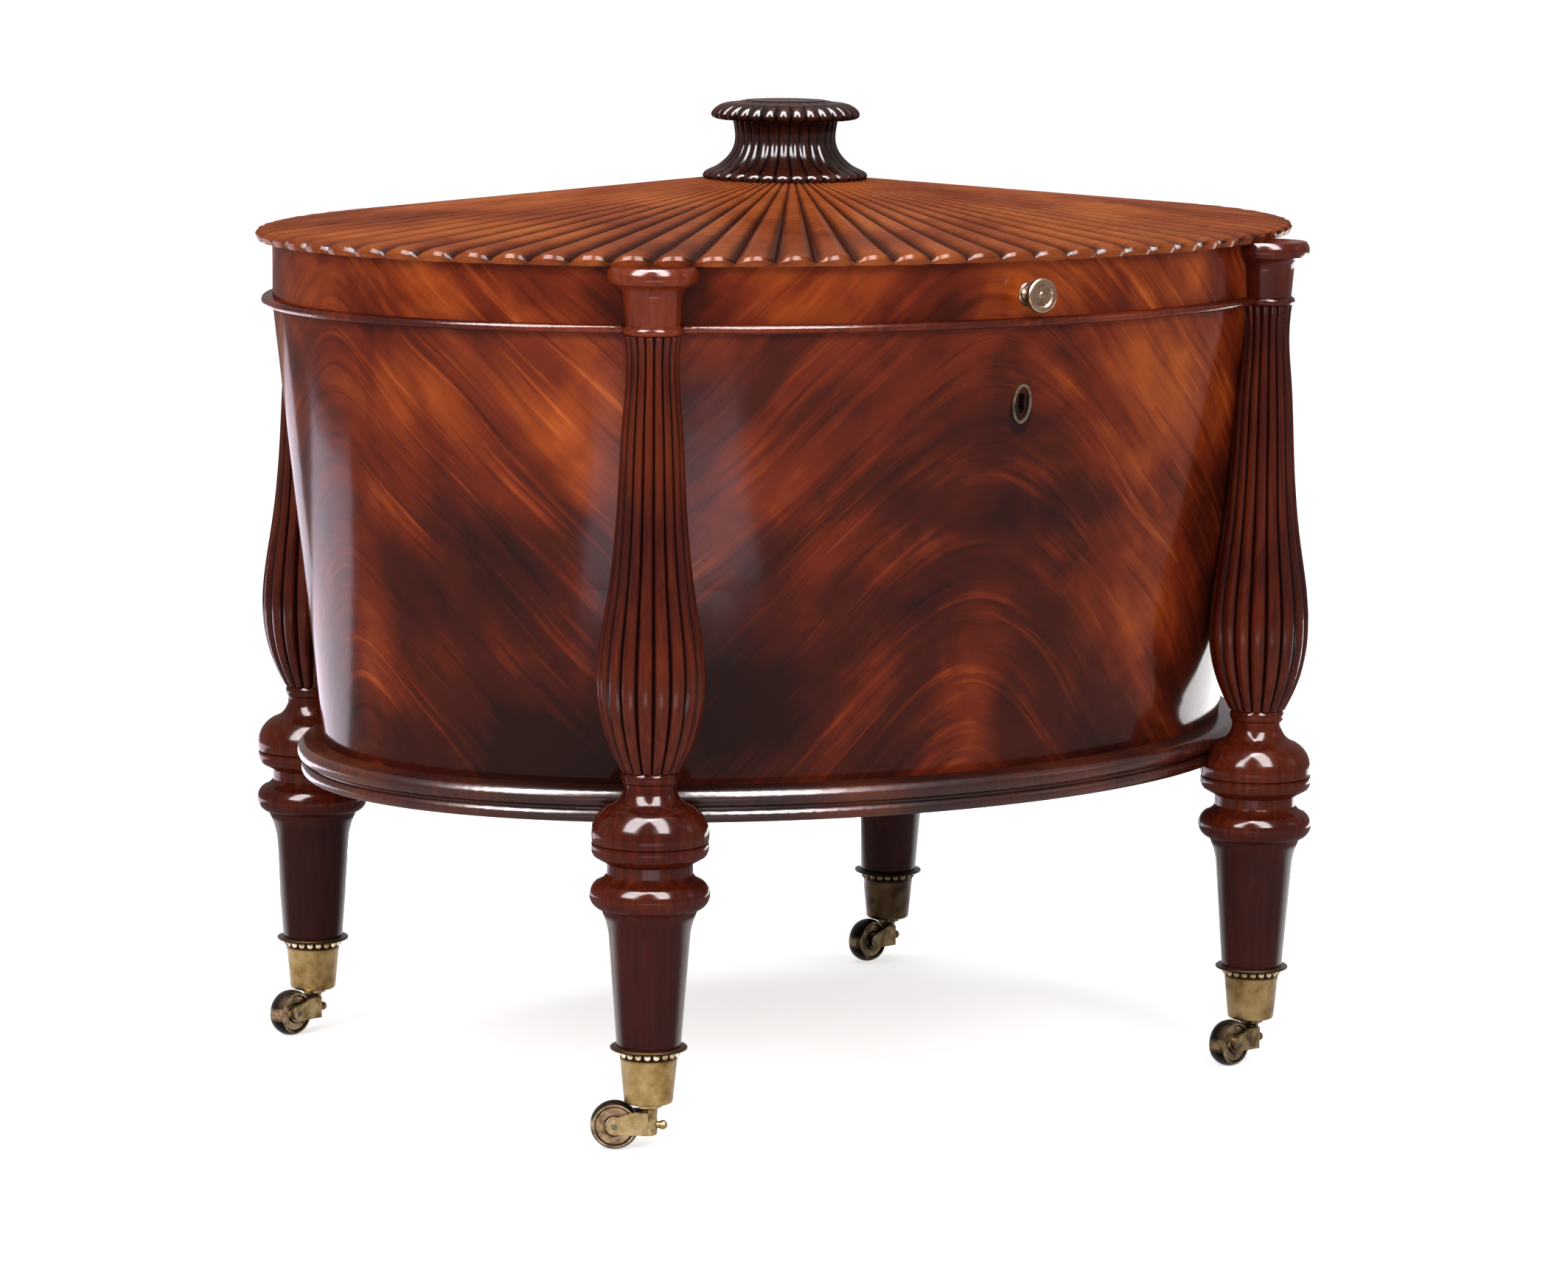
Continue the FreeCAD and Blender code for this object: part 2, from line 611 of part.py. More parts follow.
def screw(head, shank, length, grow):
    """Countersunk screw along -Z with its flat head at the origin; grow makes it a cutter."""
    sink = head - shank
    cone = Part.makeCone(shank + grow, head + grow, sink, FreeCAD.Vector(0, 0, -sink))
    return cone.fuse(Part.makeCylinder(shank + grow, length + grow, FreeCAD.Vector(0, 0, -length - grow)))


def set_along(shape, spot, direction):
    """Copy of a shape whose -Z side points in a direction at a spot."""
    turn = FreeCAD.Rotation(FreeCAD.Vector(0, 0, -1), FreeCAD.Vector(*direction))
    placed = shape.copy()
    placed.Placement = FreeCAD.Placement(FreeCAD.Vector(*spot), turn)
    return placed


def small_screws(seats, grow=0.0):
    """Group of small screws at (spot, direction) seats."""
    one = screw(size("screw_head_radius"), size("screw_radius"), size("screw_length"), grow)
    return Part.makeCompound([set_along(one, *seat) for seat in seats])


def hinge_seats(direction):
    """Seats of the screws in the lower (-1) or upper (+1) leaves of the hinges."""
    spread, reach = size("hinge_screw_spread"), size("hinge_screw_reach")
    depth = size("tub_top_half_depth") + size("hinge_setback") - reach
    level = size("tub_top_height") + (size("lid_gap") if direction > 0 else 0)
    return [((side * size("hinge_x") + shift, depth, level), (0, 0, direction))
            for side in (-1, 1) for shift in (-spread, spread)]


def lock_middle():
    """Middle of the lock's thickness."""
    return size("lock_setback") + size("lock_thickness") / 2 - size("tub_top_half_depth")


def face_seats():
    """Seats of the screws that hold the lock's face plate."""
    shift = (size("lock_half_width") + size("face_half_width")) / 2
    return [((side * shift, lock_middle(), size("tub_top_height")), (0, 0, -1)) for side in (-1, 1)]


def link_seats():
    """Seats of the screws that hold the link plate."""
    shift = size("link_half_width") - size("screw_head_radius") - size("link_thickness")
    level = size("tub_top_height") + size("lid_gap")
    return [((side * shift, lock_middle(), level), (0, 0, 1)) for side in (-1, 1)]


def leg_bearing():
    """Direction square to the tub at a leg, as its shares in X and Y."""
    x = number(LEG_X) / size("tub_top_half_width") ** 2
    y = number(LEG_Y) / size("tub_top_half_depth") ** 2
    return x / math.hypot(x, y), y / math.hypot(x, y)


def leg_to_wall(level):
    """Distance from a leg's axis to the outer face of the wall at a height."""
    share = (level - size("tub_foot_height")) / (size("tub_top_height") - size("tub_foot_height"))
    half_width = size("tub_top_half_width") - (1 - share) * size("tub_draw")
    half_depth = size("tub_top_half_depth") - (1 - share) * size("tub_draw")
    x, y = number(LEG_X), number(LEG_Y)
    slope = math.hypot(x / half_width ** 2, y / half_depth ** 2)
    return ((x / half_width) ** 2 + (y / half_depth) ** 2 - 1) / (2 * slope)


def leg_fasteners(radius, length, start, level, head=None, grow=0.0):
    """Group of one level screw or dowel per leg, starting inside the tub and running outwards."""
    if head is None:
        one = Part.makeCylinder(radius + grow, length + grow, FreeCAD.Vector(0, 0, -length - grow))
    else:
        one = screw(head, radius, length, grow)
    across, along = leg_bearing()
    group = []
    for side_x, side_y, _ in CORNERS.values():
        spot = (side_x * (number(LEG_X) - start * across), side_y * (number(LEG_Y) - start * along), level)
        group.append(set_along(one, spot, (side_x * across, side_y * along, 0)))
    return Part.makeCompound(group)


def leg_screws(grow=0.0):
    """Long screws from inside the tub into the tops of the columns."""
    level = size("tub_top_height") - size("leg_screw_drop")
    start = leg_to_wall(level) + size("wall_thickness") - size("leg_screw_radius") / 2
    return leg_fasteners(size("leg_screw_radius"), size("leg_screw_length"), start, level,
                         size("leg_screw_head_radius"), grow)


def leg_dowels(grow=0.0):
    """Dowels from the floor board through the moulding into the upper knops."""
    level = size("tub_foot_height") - size("floor_thickness") / 2
    start = leg_to_wall(size("tub_foot_height")) + size("leg_dowel_inside")
    length = start + size("leg_dowel_outside") - size("upper_knop_radius")
    return leg_fasteners(size("leg_dowel_radius"), length, start, level, None, grow)


# ---------------------------------------------------------------- tub


def make_tub():
    """Tapered oval wall, floor board and base moulding."""
    outer = oval_taper("tub_block", "0", "tub_foot_height", "tub_top_height")
    inner = oval_taper("tub_hollow", "wall_thickness", "tub_foot_height", "tub_top_height")
    ring = cut("tub_ring", outer, [inner])
    front = "lock_setback - tub_top_half_depth"
    recess = block("lock_recess", "2 * (lock_half_width + lock_gap)", "2 * lock_thickness",
                   "lock_height + 2 * lock_gap", "-(lock_half_width + lock_gap)", f"{front} - lock_gap",
                   "tub_top_height - lock_height - lock_gap")
    face = block("face_recess", "2 * (face_half_width + lock_gap)", "2 * lock_thickness",
                 "face_thickness + lock_gap", "-(face_half_width + lock_gap)", f"{front} - lock_gap",
                 "tub_top_height - face_thickness")
    tools = [recess, face, keyhole_cutter("tub_keyhole", "2 * lock_setback", "-tub_top_half_depth")]
    tools += [leaf_recess(f"leaf_recess_{side}", sign, "tub_top_height - hinge_leaf_thickness")
              for side, sign in (("l", -1), ("r", 1))]
    tools.append(shaped("tub_screw_holes", small_screws(hinge_seats(-1) + face_seats(), size("dowel_gap"))))
    tools.append(shaped("leg_screw_holes", leg_screws(size("dowel_gap"))))
    keep(cut("tub_wall", ring, tools), "tub_wall")

    board = oval_board("floor_blank", FOOT_HALF_WIDTH, FOOT_HALF_DEPTH, "floor_thickness",
                       "tub_foot_height - floor_thickness")
    dowel_holes = shaped("dowel_holes", leg_dowels(size("dowel_gap")))
    keep(cut("tub_floor", board, [dowel_holes]), "tub_floor")

    foot = "tub_foot_height - floor_thickness"
    room = "glue_gap + tub_draw * (moulding_height - floor_thickness) / (tub_top_height - tub_foot_height)"
    wide, deep = f"{FOOT_HALF_WIDTH} + {room}", f"{FOOT_HALF_DEPTH} + {room}"
    edge = "moulding_upper_reach - moulding_upper_swell"
    quirk_top = f"{foot} + moulding_height - moulding_bevel - moulding_upper_bead"
    lower = oval_bead("moulding_lower", f"{wide} + moulding_lower_reach - moulding_lower_swell",
                      f"{deep} + moulding_lower_reach - moulding_lower_swell", foot,
                      f"{foot} + moulding_lower_bead", "moulding_lower_swell")
    quirk = oval_board("moulding_sunk", f"{wide} + moulding_quirk", f"{deep} + moulding_quirk",
                       "moulding_height - moulding_bevel", foot)
    upper = oval_bead("moulding_upper", f"{wide} + {edge}", f"{deep} + {edge}", quirk_top,
                      f"{quirk_top} + moulding_upper_bead", "moulding_upper_swell")
    bevel = doc.addObject("Part::Loft", "moulding_top")
    bevel.Sections = [
        oval("moulding_top_low", f"{wide} + {edge}", f"{deep} + {edge}",
             f"{foot} + moulding_height - moulding_bevel"),
        oval("moulding_top_high", f"{wide} + moulding_ledge", f"{deep} + moulding_ledge",
             f"{foot} + moulding_height")]
    bevel.Solid = True
    bevel.Ruled = True
    bore = oval_board("moulding_bore", wide, deep, "3 * moulding_height", f"{foot} - moulding_height")
    moulding = cut("moulding_run", joined("moulding_layers", [lower, quirk, upper, bevel]), [bore])
    notches = []
    for name, (side_x, side_y, _) in CORNERS.items():
        notch = turned(f"moulding_notch_{name}", [
            ("0", f"{foot} - moulding_height"),
            ("upper_knop_radius + knop_room", f"{foot} - moulding_height"),
            ("upper_knop_radius + knop_room", "upper_knop_quirk + upper_knop_line", "upper_knop_swell"),
            ("upper_knop_top_radius + knop_room", "upper_knop_top", "-neck_hollow"),
            ("neck_radius + knop_room", "neck_foot"),
            ("0", "neck_foot"),
        ])
        place(notch, f"{side_x} * {LEG_X}", f"{side_y} * {LEG_Y}")
        notches.append(notch)
    keep(cut("base_moulding", moulding, notches + [dowel_holes]), "base_moulding")


def keyhole_cutter(name, depth, y):
    """Round hole for the key with the slot for its bit above, driven in from the front."""
    level = "tub_top_height - keyhole_drop"
    hole = rod(f"{name}_round", "keyhole_radius", depth, y=f"{y} + {depth}", z=level, axis=X_AXIS, angle="90")
    slot = block(f"{name}_slot", "keyhole_slot", depth, "keyhole_rise", "-keyhole_slot / 2", y, level)
    return joined(name, [hole, slot])


def leaf_recess(name, sign, z):
    """Shallow pocket for a hinge leaf in the edge of the tub or of the frieze."""
    return block(name, "2 * hinge_half_length", "hinge_leaf_reach + hinge_setback", "hinge_leaf_thickness",
                 f"{sign} * hinge_x - hinge_half_length",
                 "tub_top_half_depth + hinge_setback - hinge_leaf_reach", z)


def make_liner():
    """Zinc tray inside the wall, open at the top."""
    shell = oval_taper("liner_block", "wall_thickness + liner_gap", "tub_foot_height",
                       "tub_foot_height + liner_height")
    room = oval_taper("liner_room", "wall_thickness + liner_gap + liner_thickness",
                      "tub_foot_height + liner_thickness", "tub_foot_height + liner_height")
    keep(cut("liner", shell, [room]), "liner")


def make_dividers():
    """Two long and four cross boards, halved over each other, that part the liner into bottle cells."""
    low = "tub_foot_height + liner_thickness"
    room = oval_taper("divider_room", "wall_thickness + liner_gap + liner_thickness + board_gap", low,
                      f"{low} + board_height")
    long_slots, cross_slots = [], []
    slot_width = "board_thickness + 2 * board_gap"
    for index in range(4):
        middle = f"{index - 1.5} * cell_pitch"
        long_slots.append(block(f"long_slot_{index}", slot_width, "3 * cell_pitch", "board_height",
                                f"{middle} - board_thickness / 2 - board_gap", "-1.5 * cell_pitch",
                                f"{low} + board_height / 2"))
    for index in range(2):
        middle = f"{index - 0.5} * cell_pitch"
        cross_slots.append(block(f"cross_slot_{index}", "6 * cell_pitch", slot_width,
                                 "board_height / 2 + board_gap", "-3 * cell_pitch",
                                 f"{middle} - board_thickness / 2 - board_gap", low))
    for index, name in enumerate(("front", "back")):
        board = block(f"long_board_{name}", "2 * tub_top_half_width", "board_thickness", "board_height",
                      "-tub_top_half_width", f"{index - 0.5} * cell_pitch - board_thickness / 2", low)
        fitted = doc.addObject("Part::Common", f"fitted_long_{name}")
        fitted.Base, fitted.Tool = board, room
        keep(cut(f"divider_long_{name}", fitted, long_slots), f"divider_long_{name}")
    for index in range(4):
        board = block(f"cross_board_{index}", "board_thickness", "2 * tub_top_half_depth", "board_height",
                      f"{index - 1.5} * cell_pitch - board_thickness / 2", "-tub_top_half_depth", low)
        fitted = doc.addObject("Part::Common", f"fitted_cross_{index}")
        fitted.Base, fitted.Tool = board, room
        keep(cut(f"divider_cross_{index + 1}", fitted, cross_slots), f"divider_cross_{index + 1}")


# ---------------------------------------------------------------- legs and casters


TOE_BOTTOM = "cup_bottom + cup_floor + cup_round + cup_gap"
LEG_OUTLINE = [
    ("0", TOE_BOTTOM),
    ("toe_radius", TOE_BOTTOM),
    ("toe_radius", "foot_height"),
    ("foot_radius", "foot_height"),
    ("shin_radius", "shin_height", "-shin_hollow"),
    ("lower_knop_foot_radius", "lower_knop_foot", "lower_knop_swell"),
    ("lower_knop_top_radius", "lower_knop_top", "-lower_knop_hollow"),
    ("cove_radius", "cove_foot"),
    ("cove_radius", "cove_top"),
    ("upper_knop_foot_radius", "upper_knop_foot", "upper_knop_lip"),
    ("upper_knop_radius", "upper_knop_quirk - upper_knop_line"),
    ("upper_knop_quirk_radius", "upper_knop_quirk"),
    ("upper_knop_radius", "upper_knop_quirk + upper_knop_line", "upper_knop_swell"),
    ("upper_knop_top_radius", "upper_knop_top", "-neck_hollow"),
    ("neck_radius", "neck_foot"),
    ("neck_radius", "neck_top", "neck_ring"),
    ("neck_radius", "column_foot"),
    ("0", "column_foot"),
]


def column_shape():
    """Reeded baluster column on the Z axis."""
    stations = [(size(f"column_{place_name}_radius"), size(f"column_{place_name}"))
                for place_name in ("foot", "swell", "belly", "shoulder", "taper", "shaft", "upper")]
    stations.append((size("column_top_radius"), size("tub_top_height")))
    return reeded(stations, int(size("column_reeds")), size("column_reed_depth"))


def make_legs():
    """Turned legs with reeded columns, scribed to the tub and bored for their fasteners."""
    scribe = oval_taper("leg_scribe", "-glue_gap", "tub_foot_height", "tub_top_height")
    holes = shaped("leg_holes", Part.makeCompound(
        leg_screws(size("dowel_gap")).Solids + leg_dowels(size("dowel_gap")).Solids))
    column = column_shape()
    for name, (side_x, side_y, _) in CORNERS.items():
        lower = turned(f"lower_leg_{name}", LEG_OUTLINE)
        place(lower, f"{side_x} * {LEG_X}", f"{side_y} * {LEG_Y}")
        upper = shaped(f"column_{name}", column)
        upper.Placement.Base = FreeCAD.Vector(side_x * number(LEG_X), side_y * number(LEG_Y), 0)
        whole = joined(f"whole_leg_{name}", [lower, upper])
        keep(cut(f"leg_{name}", whole, [scribe, holes]), f"leg_{name}")


COLLAR_FOOT = "foot_height - cup_collar_thickness"


def bead_ring():
    """Ring of beads under the flange of a cup on the Z axis."""
    level = number(f"{COLLAR_FOOT} + cup_bead_sink - cup_bead_radius")
    bead = Part.makeSphere(size("cup_bead_radius"), FreeCAD.Vector(size("cup_bead_ring"), 0, level))
    count = int(size("cup_beads"))
    ring = []
    for index in range(count):
        ring.append(bead.copy())
        ring[-1].rotate(FreeCAD.Vector(), Z_AXIS, 360 * index / count)
    return Part.makeCompound(ring)


def make_caster(name, side_x, side_y, trail):
    """Cup on the foot, horn that swivels in it, axle and wheel; the wheel trails in the given direction."""
    x, y = f"{side_x} * {LEG_X}", f"{side_y} * {LEG_Y}"
    bore = "pintle_radius + running_gap"
    cup = turned(f"cup_{name}_body", [
        (bore, "cup_bottom"),
        ("cup_foot_radius - cup_round", "cup_bottom", f"{QUARTER} * cup_round"),
        ("cup_foot_radius", "cup_bottom + cup_round"),
        ("cup_top_radius", f"{COLLAR_FOOT} - 2 * cup_bead_radius"),
        ("cup_top_radius", COLLAR_FOOT),
        ("cup_collar_radius - cup_collar_round", COLLAR_FOOT, "cup_collar_round"),
        ("cup_collar_radius - cup_collar_round", "foot_height"),
        ("toe_radius + cup_gap", "foot_height"),
        ("toe_radius + cup_gap", "cup_bottom + cup_floor + cup_round"),
        ("cup_foot_radius - cup_round", "cup_bottom + cup_floor"),
        (bore, "cup_bottom + cup_floor"),
    ])
    beaded = joined(f"cup_{name}_beaded", [cup, shaped(f"cup_{name}_beads", bead_ring())])
    place(beaded, x, y)
    keep(beaded, f"caster_cup_{name}")

    shoulder = "cup_bottom - swivel_gap"
    rivet = "cup_bottom + cup_floor + swivel_gap"
    stem = turned(f"horn_{name}_stem", [
        ("0", "horn_foot"),
        ("horn_radius - horn_round", "horn_foot", f"{QUARTER} * horn_round"),
        ("horn_radius", "horn_foot + horn_round"),
        ("horn_radius", f"{shoulder} - 2 * horn_shoulder_height", "-horn_hollow"),
        ("horn_shoulder_radius", f"{shoulder} - horn_shoulder_height"),
        ("horn_shoulder_radius", shoulder),
        ("pintle_radius", shoulder),
        ("pintle_radius", rivet),
        ("pintle_head_radius", rivet),
        ("pintle_head_radius", f"{rivet} + pintle_head_height / 2"),
        ("pintle_radius", f"{rivet} + pintle_head_height"),
        ("0", f"{rivet} + pintle_head_height"),
    ])
    yoke = padded(f"horn_{name}_yoke", [
        ("0", "horn_foot + horn_lift"),
        ("caster_trail", "wheel_radius - horn_eye_radius", f"{HALF} * horn_eye_radius"),
        ("caster_trail", "wheel_radius + horn_eye_radius"),
        ("horn_radius + horn_web", "wheel_radius + horn_eye_radius + horn_web"),
        ("0", "wheel_radius + horn_eye_radius + horn_web"),
    ], "wheel_width + 2 * (horn_cheek + swivel_gap)")
    spur = rod(f"horn_{name}_spur", "spur_radius", "spur_reach", "-spur_reach", "0", "wheel_radius",
               FreeCAD.Vector(0, 1, 0), "90")
    ball = doc.addObject("Part::Sphere", f"horn_{name}_ball")
    bind(ball, Radius="spur_ball_radius")
    place(ball, x="-spur_reach", z="wheel_radius")
    reach = "caster_trail - wheel_radius - horn_throat"
    slot = block(f"horn_{name}_slot", "2 * wheel_radius", "wheel_width + 2 * swivel_gap", "3 * wheel_radius",
                 reach, "-wheel_width / 2 - swivel_gap", "-wheel_radius")
    eye = rod(f"horn_{name}_eye", "axle_radius + running_gap", "3 * wheel_width", "caster_trail",
              "1.5 * wheel_width", "wheel_radius", X_AXIS, "90")
    top = block(f"horn_{name}_top", "4 * wheel_radius", "4 * wheel_radius", "wheel_radius",
                "-2 * wheel_radius", "-2 * wheel_radius", f"{shoulder} - horn_shoulder_height / 2")
    yoke_low = cut(f"horn_{name}_yoke_low", yoke, [top])
    horn = cut(f"horn_{name}_blank", joined(f"horn_{name}_joined", [stem, yoke_low, spur, ball]), [slot, eye])
    swivel = doc.addObject("Part::Compound", f"horn_{name}")
    swivel.Links = [horn]
    place(swivel, x, y, "0", Z_AXIS, str(trail))
    keep(swivel, f"horn_{name}")

    wheel_x = f"{x} + caster_trail * cos({trail})"
    wheel_y = f"{y} + caster_trail * sin({trail})"
    half = "wheel_width / 2 + swivel_gap + horn_cheek"
    axle = turned(f"axle_{name}_body", [
        (f"-({half})", "0"),
        (half, "0"),
        (half, "axle_radius"),
        (f"-({half})", "axle_radius"),
    ], "YZ_Plane", "H_Axis")
    place(axle, wheel_x, wheel_y, "wheel_radius", Z_AXIS, str(trail))
    keep(axle, f"axle_{name}")
    wheel = turned(f"wheel_{name}_body", [
        ("-wheel_width / 2", "axle_radius + running_gap"),
        ("wheel_width / 2", "axle_radius + running_gap"),
        ("wheel_width / 2", "wheel_hub_radius"),
        ("wheel_width / 2 - wheel_dish", "wheel_hub_radius + wheel_slope"),
        ("wheel_width / 2 - wheel_dish", "wheel_edge_radius - wheel_rim"),
        ("wheel_width / 2", "wheel_edge_radius - wheel_rim + wheel_slope"),
        ("wheel_width / 2", "wheel_edge_radius", "wheel_radius - wheel_edge_radius"),
        ("-wheel_width / 2", "wheel_edge_radius"),
        ("-wheel_width / 2", "wheel_edge_radius - wheel_rim + wheel_slope"),
        ("wheel_dish - wheel_width / 2", "wheel_edge_radius - wheel_rim"),
        ("wheel_dish - wheel_width / 2", "wheel_hub_radius + wheel_slope"),
        ("-wheel_width / 2", "wheel_hub_radius"),
    ], "YZ_Plane", "H_Axis")
    place(wheel, wheel_x, wheel_y, "wheel_radius", Z_AXIS, str(trail))
    keep(wheel, f"wheel_{name}")


# ---------------------------------------------------------------- lid


LID_FOOT = "tub_top_height + lid_gap"
LID_EAVES = f"{LID_FOOT} + frieze_height"


def make_lid():
    """Oval frieze, astragal, lining board and reeded top."""
    outer = oval_board("frieze_block", "tub_top_half_width", "tub_top_half_depth", "frieze_height", LID_FOOT)
    inner = oval_board("frieze_hollow", "tub_top_half_width - frieze_thickness",
                       "tub_top_half_depth - frieze_thickness", "frieze_height", LID_FOOT)
    ring = cut("frieze_ring", outer, [inner])
    tools = [leaf_recess(f"upper_recess_{side}", sign, LID_FOOT) for side, sign in (("l", -1), ("r", 1))]
    tools.append(block("link_recess", "2 * (link_half_width + lock_gap)", "2 * lock_thickness",
                       "link_thickness", "-(link_half_width + lock_gap)",
                       "lock_setback - tub_top_half_depth - lock_gap", LID_FOOT))
    tools.append(rod("knob_hole", "knob_stud_radius + dowel_gap", "knob_stud_length + frieze_thickness",
                     y="knob_stud_length - tub_top_half_depth + dowel_gap", z=f"{LID_FOOT} + knob_drop",
                     axis=X_AXIS, angle="90"))
    tools.append(shaped("lid_screw_holes", small_screws(hinge_seats(1) + link_seats(), size("dowel_gap"))))
    keep(cut("lid_frieze", ring, tools), "lid_frieze")

    bead = oval_bead("astragal_bead", "tub_top_half_width + astragal_flat",
                     "tub_top_half_depth + astragal_flat", LID_FOOT, f"{LID_FOOT} + astragal_height",
                     "(astragal_reach - astragal_flat)")
    bore = oval_board("astragal_bore", "tub_top_half_width + glue_gap", "tub_top_half_depth + glue_gap",
                      "3 * astragal_height", f"{LID_FOOT} - astragal_height")
    run = cut("astragal_run", bead, [bore])
    notches = [rod(f"astragal_notch_{name}", "capital_bead_radius + glue_gap", "3 * astragal_height",
                   f"{side_x} * {LEG_X}", f"{side_y} * {LEG_Y}", f"{LID_FOOT} - astragal_height")
               for name, (side_x, side_y, _) in CORNERS.items()]
    notches += [block(f"astragal_gap_{side}", "2 * (hinge_half_length + hinge_clear)",
                      "3 * hinge_leaf_reach", "3 * astragal_height",
                      f"{sign} * hinge_x - hinge_half_length - hinge_clear",
                      "tub_top_half_depth - hinge_leaf_reach", f"{LID_FOOT} - astragal_height")
                for side, sign in (("l", -1), ("r", 1))]
    keep(cut("lid_astragal", run, notches), "lid_astragal")

    lining = oval_board("lining_blank", "tub_top_half_width - frieze_thickness - glue_gap",
                        "tub_top_half_depth - frieze_thickness - glue_gap", "lining_thickness",
                        f"{LID_EAVES} - lining_thickness")
    keep(lining, "lid_lining")

    bore = rod("top_bore", "finial_dowel_radius + dowel_gap", "2 * dome_height", z=LID_EAVES)
    keep(cut("lid_top", shaped("reeded_blank", reeded_top()), [bore]), "lid_top")


def make_capitals():
    """Turned capitals over the columns, scribed to the frieze; they lift with the lid."""
    scribe = oval_board("capital_scribe", "tub_top_half_width + glue_gap", "tub_top_half_depth + glue_gap",
                        "frieze_height", LID_FOOT)
    flange = f"{LID_FOOT} + capital_flange_foot"
    for name, (side_x, side_y, _) in CORNERS.items():
        blank = turned(f"capital_{name}_blank", [
            ("0", LID_FOOT),
            ("capital_bead_radius - capital_bead_swell", LID_FOOT, "capital_bead_swell"),
            ("capital_bead_radius - capital_bead_swell", f"{LID_FOOT} + capital_bead_height"),
            ("capital_shaft_radius", f"{LID_FOOT} + capital_bead_height + capital_lip"),
            ("capital_neck_radius", f"{LID_FOOT} + capital_neck", "-capital_flare_hollow"),
            ("capital_flare_radius", flange),
            ("capital_flange_radius", f"{flange} + capital_lip", "capital_flange_round"),
            ("capital_flange_radius", f"{LID_EAVES} - capital_lip"),
            ("capital_flange_radius - capital_lip", LID_EAVES),
            ("0", LID_EAVES),
        ])
        place(blank, f"{side_x} * {LEG_X}", f"{side_y} * {LEG_Y}")
        keep(cut(f"capital_{name}", blank, [scribe]), f"capital_{name}")


def make_finial():
    """Reeded stem and gadrooned cap on a dowel through the top board."""
    crown = f"{LID_EAVES} + dome_height + glue_gap"
    cap_foot = f"{crown} + finial_stem_height"
    plug = turned("finial_plug", [
        ("0", f"{crown} - seat_depth"),
        ("seat_radius - seat_room", f"{crown} - seat_depth"),
        ("seat_radius - seat_room", f"{crown} + finial_toe"),
        ("0", f"{crown} + finial_toe"),
    ])
    low, top = number(crown), number(cap_foot)
    reeds = int(size("finial_reeds"))
    stations = [(size("finial_foot_radius"), low)]
    stations += [(size(f"finial_{spot}_radius"), low + size(f"finial_{spot}"))
                 for spot in ("toe", "instep", "flare", "waist", "throat")]
    stations.append((size("finial_stem_radius"), top))
    stem = shaped("finial_stem", reeded(stations, reeds, size("finial_reed_depth")))
    bore = rod("finial_bore", "finial_dowel_radius + dowel_gap", "3 * finial_stem_height",
               z=f"{crown} - 2 * seat_depth")
    keep(cut("finial_neck", joined("finial_neck_blank", [plug, stem]), [bore]), "finial_neck")

    stations = [(size("cap_foot_radius"), top)]
    stations += [(size(f"cap_{spot}_radius"), top + size(f"cap_{spot}"))
                 for spot in ("edge", "crown", "slope", "shoulder")]
    lobes = shaped("cap_lobes", reeded(stations, reeds, size("cap_lobe_depth")))
    rim = f"{cap_foot} + cap_shoulder + cap_button_edge"
    button = turned("cap_button", [
        ("0", f"{cap_foot} + cap_edge"),
        ("cap_button_radius", f"{cap_foot} + cap_edge"),
        ("cap_button_radius", rim, dome("cap_button_radius", "cap_button_rise")),
        ("0", f"{rim} + cap_button_rise"),
    ])
    cap_bore = rod("cap_bore", "finial_dowel_radius + dowel_gap", "2 * cap_edge", z=f"{cap_foot} - cap_edge")
    keep(cut("finial_cap", joined("finial_cap_blank", [lobes, button]), [cap_bore]), "finial_cap")

    dowel = rod("finial_dowel_rod", "finial_dowel_radius", f"{cap_foot} + cap_edge - ({LID_EAVES})",
                z=LID_EAVES)
    keep(dowel, "finial_dowel")


def make_knob():
    """Brass knob with its round plate on the front of the frieze."""
    level = f"{LID_FOOT} + knob_drop"
    knob = turned("knob_body", [
        ("0", "-knob_stud_length"),
        ("knob_stud_radius", "-knob_stud_length"),
        ("knob_stud_radius", "rose_thickness"),
        ("knob_stem_radius + knob_flare", "rose_thickness", "-knob_hollow"),
        ("knob_stem_radius", "knob_reach - knob_face - knob_neck", "-knob_hollow"),
        ("knob_radius - knob_edge", "knob_reach - knob_face"),
        ("knob_radius", "knob_reach - knob_face + knob_edge"),
        ("knob_radius", "knob_reach - knob_edge", f"{QUARTER} * knob_edge"),
        ("knob_radius - knob_edge", "knob_reach"),
        ("knob_radius - knob_rim", "knob_reach"),
        ("knob_radius - knob_rim - knob_dish", "knob_reach - knob_dish"),
        ("knob_boss_radius", "knob_reach - knob_dish"),
        ("knob_boss_radius - knob_dish / 2", "knob_reach - knob_dish / 2"),
        ("0", "knob_reach - knob_dish / 2"),
    ])
    place(knob, "0", "-tub_top_half_depth", level, X_AXIS, "90")
    keep(knob, "knob")
    rose = turned("rose_body", [
        ("knob_stud_radius + dowel_gap", "0"),
        ("rose_radius", "0"),
        ("rose_radius", "rose_thickness / 2"),
        ("rose_radius - rose_thickness / 2", "rose_thickness"),
        ("knob_stud_radius + dowel_gap", "rose_thickness"),
    ])
    place(rose, "0", "-tub_top_half_depth", level, X_AXIS, "90")
    keep(rose, "knob_rose")


# ---------------------------------------------------------------- lock, escutcheon and hinges


